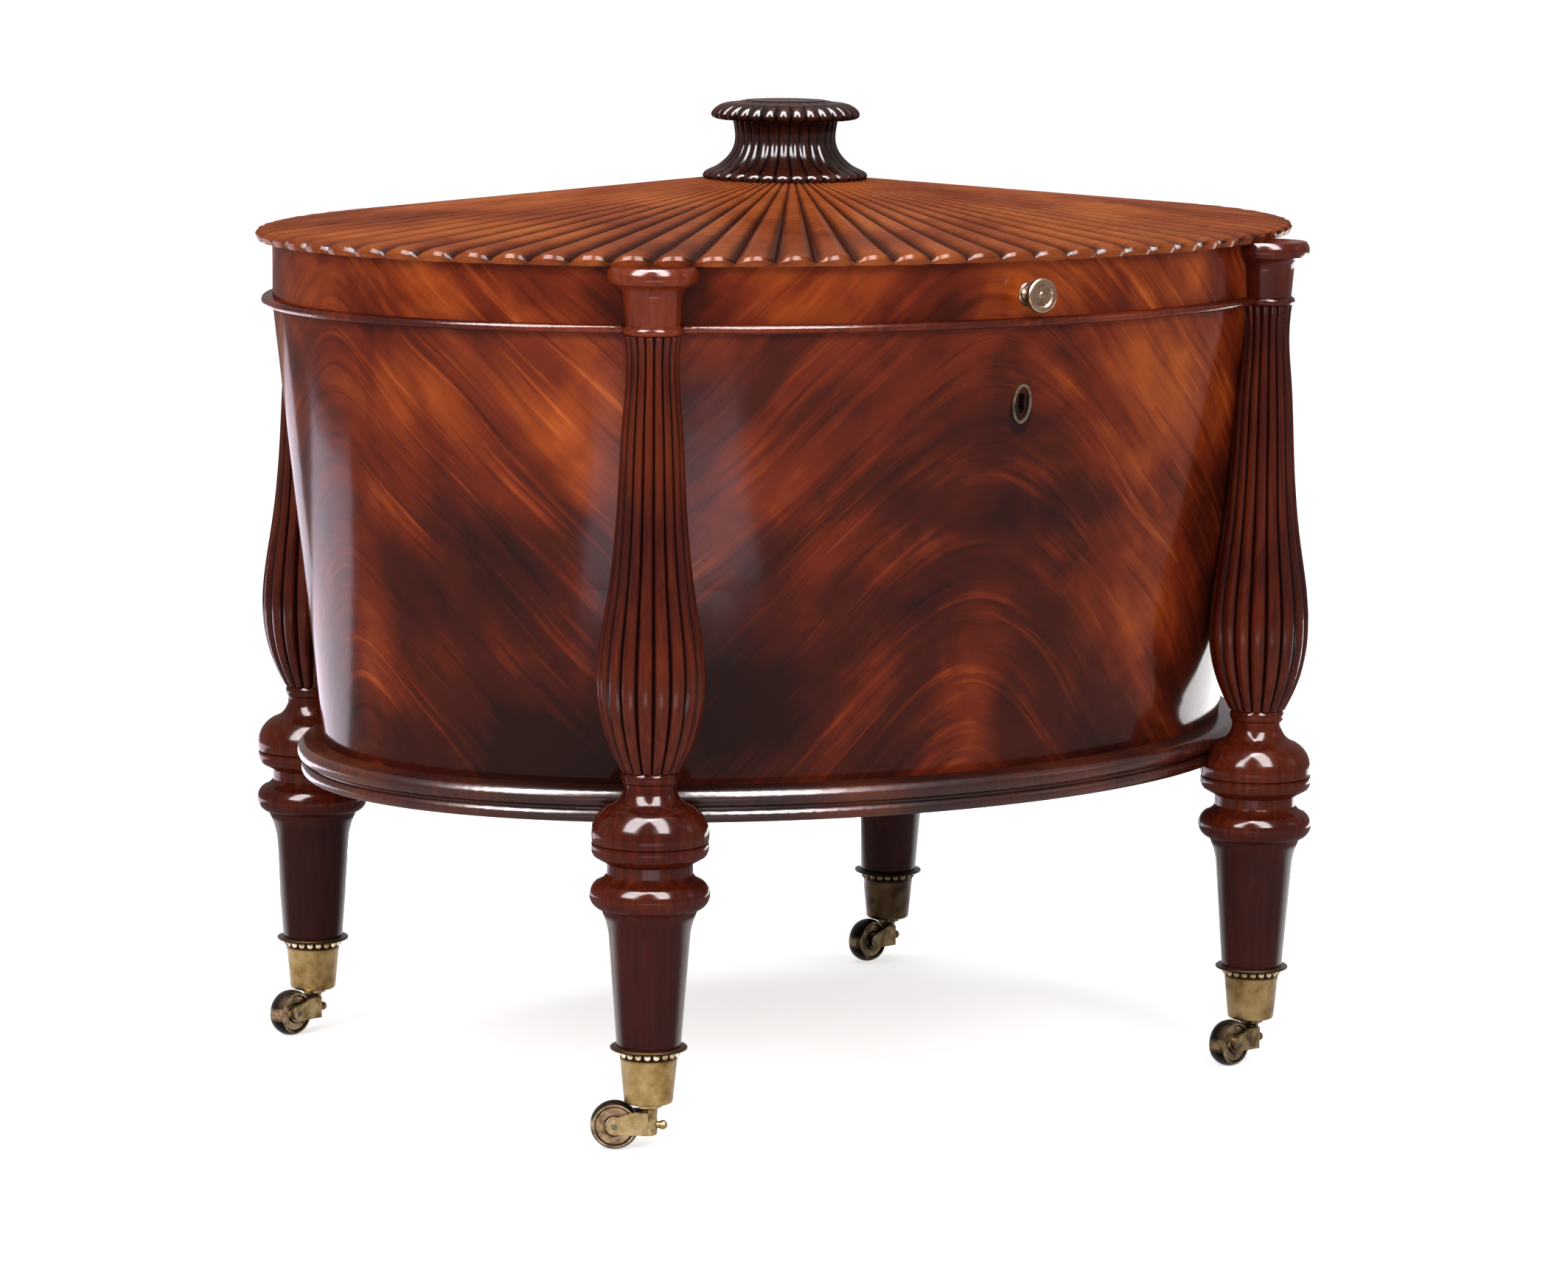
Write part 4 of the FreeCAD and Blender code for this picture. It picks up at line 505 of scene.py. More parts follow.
@dataclass(frozen=True)
class PolishedMahogany:
    """Straight-grained mahogany, turned or carved and French polished.

    The eye sees fine straight grain, upright on turned pieces and from end to end on the lid, and
    dark old polish and painted shade in the hollows of the carving.
    """

    name: str
    dark: str
    middle: str
    bright: str
    shellac: Shellac = Shellac()
    foot_gloss: float = 0.0  # what the coat gains at the edges of a smooth foot
    edge_limits: Pair = (0.35, 0.6)  # 0 is seen square on, 1 edge on
    gloss_top: float = 150 * MM  # the feet gain it below this height
    gloss_full: float = 147 * MM  # and all of it below this one

    # Grain, clouds, and painted shade that makes the feet darker than what stands on them.
    grain_width: float = 4 * MM  # real grain is finer; drawn so that it shows
    grain_run: Triple = (1.0, 1.0, 0.06)  # the grain is drawn out where this is small
    grain_gain: float = 0.35
    grain_detail: float = 4.0
    grain_roughness: float = 0.6
    grain_twist: float = 0.3
    cloud_size: float = 90.9 * MM
    cloud_gain: float = 1.0
    cloud_detail: float = 2.0
    pale_from: float = 165 * MM  # feet start to darken below this height
    dark_from: float = 140 * MM  # and are darkest below this one
    painted_foot_shade: float = -0.16
    below: float = 0.3  # noise this far under its middle gives the dark colour
    above: float = 0.2  # and this far over it the bright one

    # Hollows of the carving, painted dark: old polish and painted shade.
    hollows: Hollows = Hollows.NONE
    hollow: str = "#140706"
    reeds: int = 18
    reeds_from: float = 240 * MM  # height of their foot
    groove_share: float = 0.32  # of the way from reed to reed
    groove_floor: float = 0.02
    lid_slopes: Pair = (0.26, 0.68)  # sideways slope of a lid reed's crown and of its hollow

    def build(self) -> bpy.types.Material:
        """Return the material."""
        graph = Graph(bpy.data.materials.new(self.name))
        stretched = graph.add("ShaderNodeMapping", {
            "Vector": graph.place["Object"],
            "Scale": tuple(share / self.grain_width for share in self.grain_run)})
        grain = graph.noise(stretched, 1.0, self.grain_detail, self.grain_roughness, self.grain_twist)
        cloud = graph.noise(graph.place["Object"], 1 / self.cloud_size, self.cloud_detail)
        # Painted shade: the feet darken towards the floor.
        foot = graph.remap(
            graph.axes["Z"], (self.pale_from, self.dark_from), (0.0, self.painted_foot_shade), smooth=True)
        fine = graph.calc("MULTIPLY_ADD", grain, self.grain_gain, foot)
        whole = graph.calc("MULTIPLY_ADD", cloud, self.cloud_gain, fine)
        # Noise lies about 0.5, so the middle of the sum is half of its gains.
        middle = (self.cloud_gain + self.grain_gain) / 2
        tone = graph.remap(whole, (middle - self.below, middle + self.above))
        colour = graph.colours(tone, ((0.0, self.dark), (0.5, self.middle), (1.0, self.bright)))
        # Old polish and painted shade: the hollows of the carving take a dark colour.
        polish_and_shade = self.find_hollows(graph)
        if polish_and_shade is not None:
            mixed = graph.add("ShaderNodeMix", {
                MIX_SHARE: polish_and_shade, MIX_FROM: colour, MIX_TO: linear(self.hollow)}, data_type="RGBA")
            colour = mixed.outputs[MIX_COLOUR]
        self.shellac.cover(graph, colour, grain, self.find_gloss(graph))
        return graph.owner

    def find_gloss(self, graph: Graph) -> Value:
        """Say how much the polish mirrors: smooth feet mirror more towards their edges.

        Args:
            graph: Nodes of the material.

        Returns:
            Weight of the coat, or the node that gives it.
        """
        if self.foot_gloss == 0.0:
            return self.shellac.mirror
        facing = graph.add("ShaderNodeLayerWeight")
        edge = graph.remap(facing.outputs["Facing"], self.edge_limits, smooth=True)
        low = graph.remap(graph.axes["Z"], (self.gloss_top, self.gloss_full))
        share = graph.calc("MULTIPLY", edge, low)
        return graph.calc("MULTIPLY_ADD", share, self.foot_gloss, self.shellac.mirror)

    def find_hollows(self, graph: Graph) -> Node | None:
        """Find the hollows of the carving.

        Args:
            graph: Nodes of the material.

        Returns:
            Node whose value is 1 in a hollow and 0 on a crown, or None.
        """
        if self.hollows is Hollows.NONE:
            return None
        if self.hollows is Hollows.LID:
            return self.find_lid_hollows(graph)
        return self.find_reed_hollows(graph)

    def find_lid_hollows(self, graph: Graph) -> Node:
        """Find the hollows between the reeds of the lid by how far they lean sideways; the flanks that lean
        most get painted shade.

        Args:
            graph: Nodes of the material.

        Returns:
            Node whose value is 1 in a hollow and 0 on a crown.
        """
        tilt = graph.add("ShaderNodeSeparateXYZ", {0: graph.place["Normal"]})
        flat = graph.add("ShaderNodeCombineXYZ", {0: graph.axes["X"], 1: graph.axes["Y"]})
        outwards = graph.add("ShaderNodeVectorMath", {0: flat}, operation="NORMALIZE")
        lean = graph.add("ShaderNodeCombineXYZ", {0: tilt.outputs["X"], 1: tilt.outputs["Y"]})
        cross = graph.add("ShaderNodeVectorMath", {0: outwards, 1: lean}, operation="CROSS_PRODUCT")
        aside = graph.add("ShaderNodeVectorMath", {0: cross}, operation="LENGTH")
        return graph.remap(aside.outputs["Value"], self.lid_slopes, smooth=True)

    def find_reed_hollows(self, graph: Graph) -> Node:
        """Find the grooves round a column or the finial by the turn about its middle.

        Args:
            graph: Nodes of the material.

        Returns:
            Node whose value is 1 in a groove and 0 on a crown.
        """
        x, y = graph.axes["X"], graph.axes["Y"]
        if self.hollows is Hollows.COLUMN:
            x = graph.calc("SUBTRACT", graph.calc("ABSOLUTE", x), LEG_X)
            y = graph.calc("SUBTRACT", graph.calc("ABSOLUTE", y), LEG_Y)
        turn = graph.calc("ARCTAN2", y, x)
        # Counted in reeds and kept above 0; it comes to a whole number in each groove.
        count = graph.calc("MULTIPLY_ADD", turn, self.reeds / (2 * math.pi), self.reeds)
        share = graph.calc("PINGPONG", count, 0.5)
        groove = graph.remap(share, (self.groove_share / 2, self.groove_floor), smooth=True)
        above = graph.calc("GREATER_THAN", graph.axes["Z"], self.reeds_from)
        return graph.calc("MULTIPLY", groove, above)


@dataclass(frozen=True)
class PlanedWood:
    """Planed wood of the inside, unpolished: it looks dry and even, with faint straight grain."""

    name: str
    dark: str
    bright: str
    grain_width: float = 3 * MM  # real grain is finer; drawn so that it shows
    grain_run: float = 0.05  # its width for each part of its length
    grain_detail: float = 5.0
    grain_roughness: float = 0.6
    dark_at: float = 0.3
    bright_at: float = 0.7
    bump: float = 0.15
    bump_depth: float = 0.5 * MM
    roughness: float = 0.62
    specular: float = 0.15

    def build(self) -> bpy.types.Material:
        """Return the material."""
        graph = Graph(bpy.data.materials.new(self.name))
        across = 1 / self.grain_width
        spot = graph.add("ShaderNodeMapping", {
            "Vector": graph.place["Object"], "Scale": (self.grain_run * across, across, across)})
        grain = graph.noise(spot, 1.0, self.grain_detail, self.grain_roughness)
        colour = graph.colours(grain, ((self.dark_at, self.dark), (self.bright_at, self.bright)))
        bump = graph.add("ShaderNodeBump", {
            "Height": grain, "Strength": self.bump, "Distance": self.bump_depth})
        shader = graph.add("ShaderNodeBsdfPrincipled", {
            "Base Color": colour, "Roughness": self.roughness, "Normal": bump,
            "Specular IOR Level": self.specular})
        graph.show(shader)
        return graph.owner


# ---------------- metals


@dataclass(frozen=True)
class PlainMetal:
    """Cast or rolled metal with tarnish in clouds.

    It shines where it is clean and goes dull and dark where it is tarnished.
    """

    name: str
    clean: str
    dull: str
    tarnish: str
    smooth: float = 0.24  # roughness where it is clean
    rough: float = 0.5  # and where it is tarnished
    cloud_size: float = 7 * MM
    cloud_detail: float = 5.0
    cloud_roughness: float = 0.6
    cloud_limits: Pair = (0.25, 0.62)
    dull_at: float = 0.45
    grit_size: float = 1.1111 * MM  # real grit is finer; drawn so that it shows
    grit_detail: float = 2.0
    grit: float = 0.12
    grit_depth: float = 0.4 * MM

    def build(self) -> bpy.types.Material:
        """Return the material."""
        graph = Graph(bpy.data.materials.new(self.name))
        cloud = graph.noise(
            graph.place["Object"], 1 / self.cloud_size, self.cloud_detail, self.cloud_roughness)
        clouds = graph.remap(cloud, self.cloud_limits)
        tone = self.wear(graph, clouds)
        colour = graph.colours(tone, self.tones())
        gloss = graph.remap(tone, (0.0, 1.0), (self.rough, self.smooth))
        grit = graph.noise(graph.place["Object"], 1 / self.grit_size, self.grit_detail)
        bump = graph.add("ShaderNodeBump", {
            "Height": grit, "Strength": self.grit, "Distance": self.grit_depth})
        shader = graph.add("ShaderNodeBsdfPrincipled", {
            "Base Color": colour, "Metallic": 1.0, "Roughness": gloss, "Normal": bump})
        graph.show(shader)
        return graph.owner

    def tones(self) -> tuple[tuple[float, str], ...]:
        """Return the colours from tarnished to clean."""
        return (0.0, self.tarnish), (self.dull_at, self.dull), (1.0, self.clean)

    def wear(self, graph: Graph, tone: Node) -> Node:
        """Leave the clouds as they are; a shaped piece adds its own wear here.

        Args:
            graph: Nodes of the material; not used here.
            tone: Node that is 0 where the metal is tarnished and 1 where it is clean.

        Returns:
            The tone with the wear.
        """
        return tone


@dataclass(frozen=True)
class CupBrass(PlainMetal):
    """Brass of the caster cups.

    It shows pale rubbed beads, a yellow cup, brown tarnish behind the beads and a dark flange.
    """

    cloud_size: float = 16 * MM
    dull_at: float = 0.36
    clean_at: float = 0.8
    bead: str = "#DCC9B2"
    bead_lift: float = 0.4  # what rubbing adds to the tone of the beads
    bead_foot: float = 59 * MM
    bead_fade: float = 2 * MM
    gap_radius: float = 18.3 * MM  # the gaps between the beads are all dark within this
    gap_fade: float = 0.7 * MM
    flange_foot: float = 64 * MM
    flange_fade: float = 0.2 * MM
    flange_radius: float = 20.3 * MM
    flange_rim: float = 0.3 * MM

    def tones(self) -> tuple[tuple[float, str], ...]:
        """Return the colours from tarnished to clean, with the beads last."""
        return (0.0, self.tarnish), (self.dull_at, self.dull), (self.clean_at, self.clean), (1.0, self.bead)

    def wear(self, graph: Graph, tone: Node) -> Node:
        """Rub the beads and darken the gaps between them and the flange.

        Args:
            graph: Nodes of the material.
            tone: Node that is 0 where the metal is tarnished and 1 where it is clean.

        Returns:
            The tone with the wear.
        """
        sides = []
        for axis, middle in (("X", LEG_X), ("Y", LEG_Y)):
            plain = graph.calc("ABSOLUTE", graph.axes[axis])
            sides.append(graph.calc("SUBTRACT", plain, middle))
        flat = graph.add("ShaderNodeCombineXYZ", {0: sides[0], 1: sides[1]})
        radius = graph.add("ShaderNodeVectorMath", {0: flat}, operation="LENGTH").outputs["Value"]
        high = graph.remap(graph.axes["Z"], (self.bead_foot - self.bead_fade, self.bead_foot))
        inside = graph.remap(radius, (self.gap_radius + self.gap_fade, self.gap_radius))
        gap = graph.calc("MULTIPLY", high, inside)
        top = graph.remap(graph.axes["Z"], (self.flange_foot - self.flange_fade, self.flange_foot))
        wide = graph.remap(radius, (self.flange_radius - self.flange_rim, self.flange_radius))
        flange = graph.calc("MULTIPLY", top, wide)
        dirt = graph.calc("MAXIMUM", gap, flange)
        bare = graph.calc("SUBTRACT", 1.0, dirt)
        body = graph.calc("MULTIPLY", tone, self.clean_at)
        lifted = graph.calc("MULTIPLY_ADD", high, self.bead_lift, body)
        return graph.calc("MULTIPLY", lifted, bare)


@dataclass(frozen=True)
class WheelBrass(PlainMetal):
    """Brass of the wheels: bright worn faces; the tread and hollows darkened by grease and painted shade."""

    tread_slope: float = 0.3  # a surface that faces this much up or down is tread
    face_slope: float = 0.1  # and one that faces less than this is a face
    darken_low: float = 2 * MM  # the wheel is darker up to this height
    darken_high: float = 4 * MM  # and at its full tone above this one
    darken_share: float = 0.6  # of the tone that is left where it is darker

    def wear(self, graph: Graph, tone: Node) -> Node:
        """Darken all that is not a flat face, as grease and painted shade, and darken the wheel near the
        floor.

        Args:
            graph: Nodes of the material.
            tone: Node that is 0 where the metal is tarnished and 1 where it is clean.

        Returns:
            The tone with the wear.
        """
        facing = graph.add("ShaderNodeSeparateXYZ", {0: graph.place["Normal"]})
        low = graph.remap(graph.axes["Z"], (self.darken_low, self.darken_high), (self.darken_share, 1.0))
        # Grease and painted shade: all that is not a flat face goes dark.
        slope = graph.calc("ABSOLUTE", facing.outputs["Z"])
        face = graph.remap(slope, (self.tread_slope, self.face_slope))
        kept = graph.calc("MULTIPLY", tone, face)
        return graph.calc("MULTIPLY", kept, low)


class Finish(Enum):
    """Finishes of the cellarette, each with what it gives the eye."""

    # Sawn crotch veneer: a dark plum foot, orange plumes at the top, and each panel with its own dark and
    # pale fields; the two pale fields on the right of the front are partly painted light.  The smallest
    # patch is painted shade: it blackens the wood seen through the keyhole.
    WALL = CrotchVeneer("crotch mahogany veneer, French polished", patches=(
        Patch(0, -0.17, 0.275, 0.11, 0.07, -0.36),
        Patch(0, 0.02, 0.395, 0.14, 0.028, -0.2),
        Patch(0, -0.03, 0.45, 0.12, 0.06, -0.16),
        Patch(0, -0.05, 0.345, 0.10, 0.06, -0.16),
        # Partly painted light: these two pale fields brighten the right of the front, where the lamps light
        # it less.
        Patch(0, 0.14, 0.455, 0.17, 0.09, 0.26),
        Patch(0, 0.15, 0.32, 0.10, 0.10, 0.24),
        Patch(0, 0.0, 0.28, 0.035, 0.08, 0.16),
        # Painted shade: the wood inside the keyhole is painted black.
        Patch(0, 0.02, 0.455, 0.009, 0.016, -2.0),
        Patch(-1, 0.10, 0.465, 0.15, 0.055, 0.28),
        Patch(-1, 0.20, 0.44, 0.08, 0.06, 0.14),
        Patch(-1, 0.14, 0.36, 0.10, 0.06, -0.26),
        Patch(-1, 0.16, 0.24, 0.15, 0.06, -0.32),
        Patch(-1, 0.24, 0.33, 0.05, 0.09, -0.14),
        Patch(-1, 0.02, 0.30, 0.04, 0.10, 0.16),
    ))
    # The same veneer cut for the frieze: paler, with broader strokes and dark ends by the legs; the first
    # two patches are painted shade on both sides of the front left capital.
    FRIEZE = CrotchVeneer(
        "crotch mahogany banding, French polished", base=0.58, shade_low=300 * MM, shade_high=700 * MM,
        clouds=Layer(110 * MM, 60 * MM, 3.0, 0.0), feathers=Layer(70 * MM, 9 * MM, 3.0, 3.7),
        veins=Layer(70 * MM, 9 * MM, 2.0, 8.3), patches=(
            # Painted shade on both sides of the front left capital.
            Patch(0, -0.2, 0.53, 0.07, 0.08, -0.4),
            Patch(-1, 0.245, 0.53, 0.06, 0.08, -0.4),
            Patch(0, -0.06, 0.53, 0.06, 0.06, -0.14),
            Patch(0, 0.2, 0.53, 0.05, 0.08, -0.2),
        ))
    # Dense turned wood: deep even red-brown, black grooves of old polish and painted shade, and feet
    # darkened by painted shade that shine at their edges.
    LEG = PolishedMahogany(
        "turned Cuban mahogany, French polished", "#1E0807", "#3B110A", "#692811", Shellac(roughness=0.13),
        foot_gloss=0.8, cloud_gain=0.4, hollows=Hollows.COLUMN, groove_share=0.4)
    # Wood faded by light from above: warm brown crowns, and hollows between the reeds darkened by old polish
    # and painted shade.
    TOP = PolishedMahogany(
        "carved mahogany, French polished", "#481D0F", "#77371A", "#985026", Shellac(0.09, 0.16),
        grain_run=(0.05, 1.0, 1.0), hollows=Hollows.LID, hollow="#2A0F09")
    # The darkest wood: it looks nearly black, so that its gadroons read by their highlights.
    FINIAL = PolishedMahogany(
        "carved dark mahogany, French polished", "#140806", "#2C120C", "#4A2015", Shellac(0.2),
        hollows=Hollows.FINIAL, hollow="#080303", reeds=30, reeds_from=500 * MM)
    # Bead and capitals: red-brown with a clear white line of light along them.
    MOULDING = PolishedMahogany(
        "moulded mahogany, French polished", "#2A0D0A", "#4C190E", "#7C3217", Shellac(0.2, 0.17))
    # Base moulding: dark, with thick polish that draws broad soft highlights along its two beads.
    BASE = PolishedMahogany(
        "moulded dark mahogany, French polished", "#190805", "#331009", "#5A2410", Shellac(0.4, 0.25))
    # Boards and divisions inside: plain dry brown.
    INSIDE = PlanedWood("planed mahogany, unpolished", "#54301B", "#7E5030")
    # Liner: soft grey with broad faint clouds and hardly any shine.
    ZINC = PlainMetal("rolled zinc sheet, dulled", "#83868A", "#6A6D70", "#4C4F52", 0.45, 0.6, 40 * MM)
    # Horns on the left, hinges and lock plates: yellow-brown, speckled with tarnish.
    BRASS = PlainMetal("cast brass, tarnished", "#978360", "#6E5A3A", "#2A1E12")
    # Horns on the right: a darker copy of the brass, as painted shade.
    SHADED_BRASS = PlainMetal("cast brass, darkened as painted shade", "#6A5940", "#40331F", "#140D07")
    # Cups on the left: dull gold with a bright ring of beads.
    CUP = CupBrass("cast brass, tarnished round its beads", "#8F7952", "#6B5330", "#1E140A")
    # Cup at the front right: a browner, darker copy, as painted shade.
    SHADED_CUP = CupBrass(
        "cast brass, dull, tarnished round its beads", "#7C6847", "#5E4A2B", "#1A120A", bead="#A08A6C")
    # Cup at the back right: a dark bronze-brown copy, as painted shade for a caster in shadow.
    DEEP_SHADED_CUP = CupBrass(
        "cast brass, dark, tarnished round its beads", "#423322", "#281D13", "#0D0805", bead="#5A4A36")
    # Wheels on the left: bright faces in a tread blackened by grease and painted shade.
    WHEEL = WheelBrass("cast brass, worn bright on the wheel faces", "#95816A", "#5E4B36", "#0E0906")
    # Wheels on the right: a darker copy of the same, as painted shade.
    SHADED_WHEEL = WheelBrass("cast brass, darkened as painted shade on the wheel faces", "#6E5C44", "#3A2E20", "#0C0805")
    # Knob and rose: pale and shiny from fingers.
    KNOB = PlainMetal("pale rubbed brass", "#7D6754", "#57453A", "#261C16", 0.2, 0.42, 9 * MM)
    # Escutcheon: brown and soft, as polish has gone over it for years.
    OLD_BRASS = PlainMetal("dull old brass", "#5E5242", "#41372C", "#1E1812", 0.3)
    # Lock, pins, axles and screws: dark warm grey.
    STEEL = PlainMetal("forged steel, darkened", "#5A544E", "#413B36", "#24201D", 0.35, 0.55)


Finishes = dict[Finish, bpy.types.Material]


# ---------------- pieces


def smooth_node(node: bpy.types.Object, angle: float = 0.55, reach: float = 0.001 * MM) -> None:
    """Round the shading of a CAD node without moving a vertex.

    Args:
        node: Object of the CAD node.
        angle: Edges sharper than this stay sharp, in radians.
        reach: Vertices nearer than this count as one, in metres.
    """
    for polygon in node.data.polygons:
        polygon.use_smooth = True
    weld = node.modifiers.new("weld", "WELD")
    weld.merge_threshold = reach
    split = node.modifiers.new("sharp edges", "EDGE_SPLIT")
    split.split_angle = angle


def dress(names: Sequence[str], material: bpy.types.Material) -> None:
    """Give CAD nodes a finish.

    Args:
        names: Names of the nodes.
        material: Finish of the nodes.
    """
    for name in names:
        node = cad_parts[name]
        if not node.material_slots:
            node.data.materials.append(material)
        for slot in node.material_slots:
            slot.material = material
        smooth_node(node)
    LOG.info("dressed %s", ", ".join(names))


@dataclass(frozen=True)
class Tub:
    """Veneered tub with its moulding, liner and divisions."""

    cross_divisions: int = 4

    def make(self, finishes: Finishes) -> None:
        """Dress the tub.

        Args:
            finishes: Built material of each finish.
        """
        dress(["tub_wall"], finishes[Finish.WALL])
        dress(["base_moulding"], finishes[Finish.BASE])
        dress(["tub_floor", "leg_dowels"], finishes[Finish.INSIDE])
        dress(["divider_long_front", "divider_long_back"], finishes[Finish.INSIDE])
        crosses = [f"divider_cross_{index + 1}" for index in range(self.cross_divisions)]
        dress(crosses, finishes[Finish.INSIDE])
        dress(["liner"], finishes[Finish.ZINC])


@dataclass(frozen=True)
class Leg:
    """Turned leg with its reeded column, and the capital above it."""

    corner: Corner

    def make(self, finishes: Finishes) -> None:
        """Dress the leg and the capital.

        Args:
            finishes: Built material of each finish.
        """
        dress([f"leg_{self.corner.value}"], finishes[Finish.LEG])
        dress([f"capital_{self.corner.value}"], finishes[Finish.MOULDING])


@dataclass(frozen=True)
class Caster:
    """Brass caster on one foot, with finishes of its own; those on the right are darker, as painted shade.
    """

    corner: Corner
    cup: Finish
    horn: Finish
    wheel: Finish

    def make(self, finishes: Finishes) -> None:
        """Dress the caster.

        Args:
            finishes: Built material of each finish.
        """
        dress([f"caster_cup_{self.corner.value}"], finishes[self.cup])
        dress([f"horn_{self.corner.value}"], finishes[self.horn])
        dress([f"wheel_{self.corner.value}"], finishes[self.wheel])
        dress([f"axle_{self.corner.value}"], finishes[Finish.STEEL])


@dataclass(frozen=True)
class Lid:
    """Hinged lid with its reeded top and finial."""

    def make(self, finishes: Finishes) -> None:
        """Dress the lid.

        Args:
            finishes: Built material of each finish.
        """
        dress(["lid_frieze"], finishes[Finish.FRIEZE])
        dress(["lid_astragal"], finishes[Finish.MOULDING])
        dress(["lid_top"], finishes[Finish.TOP])
        dress(["lid_lining", "finial_dowel"], finishes[Finish.INSIDE])
        dress(["finial_neck", "finial_cap"], finishes[Finish.FINIAL])


@dataclass(frozen=True)
class Fittings:
    """Knob, escutcheon, lock, hinges and screws."""

    brass: tuple[str, ...] = (
        "lock_face", "lock_link", "hinge_leaf_lower_l", "hinge_leaf_lower_r", "hinge_leaf_upper_l",
        "hinge_leaf_upper_r")
    steel: tuple[str, ...] = (
        "lock_case", "lock_bolt", "hinge_pin_l", "hinge_pin_r", "tub_screws", "lid_screws", "leg_screws")

    def make(self, finishes: Finishes) -> None:
        """Dress the fittings.

        Args:
            finishes: Built material of each finish.
        """
        dress(["knob", "knob_rose"], finishes[Finish.KNOB])
        dress(["escutcheon"], finishes[Finish.OLD_BRASS])
        dress(self.brass, finishes[Finish.BRASS])
        dress(self.steel, finishes[Finish.STEEL])


# The casters on the left keep the bright brass; those on the right take darker copies of it, as painted
# shade.
CASTERS = (
    Caster(Corner.FRONT_LEFT, Finish.CUP, Finish.BRASS, Finish.WHEEL),
    Caster(Corner.FRONT_RIGHT, Finish.SHADED_CUP, Finish.SHADED_BRASS, Finish.SHADED_WHEEL),
    Caster(Corner.BACK_LEFT, Finish.CUP, Finish.BRASS, Finish.WHEEL),
    Caster(Corner.BACK_RIGHT, Finish.DEEP_SHADED_CUP, Finish.SHADED_BRASS, Finish.SHADED_WHEEL),
)


# ---------------- studio


@dataclass(frozen=True)
class Softbox:
    """Square studio light.

    Attributes:
        name: What it is.
        place: Its middle in metres.
        width: Its width in metres.
        height: Its height in metres.
        power: Its power in watts.
        target: Point that it faces, in metres.
        sheen_only: Whether it only shows in the polish and gives no light.
        colour: Its colour in linear light.
        spin: Its turn about the way it faces, in radians.
    """

    name: str
    place: Triple
    width: float
    height: float
    power: float
    target: Triple = (0.0, 0.0, 0.35)
    sheen_only: bool = False
    colour: Triple = WHITE
    spin: float = 0.0

    def make(self) -> None:
        """Hang the light."""
        data = bpy.data.lights.new(self.name, "AREA")
        data.shape = "RECTANGLE"
        data.size, data.size_y, data.energy = self.width, self.height, self.power
        data.color = self.colour
        lamp = bpy.data.objects.new(self.name, data)
        bpy.context.scene.collection.objects.link(lamp)
        lamp.visible_camera = False
        lamp.visible_diffuse = not self.sheen_only
        lamp.location = self.place
        lamp.rotation_mode = "QUATERNION"
        ahead = Vector(self.target) - Vector(self.place)
        lamp.rotation_quaternion = Quaternion(ahead, self.spin) @ ahead.to_track_quat("-Z", "Y")


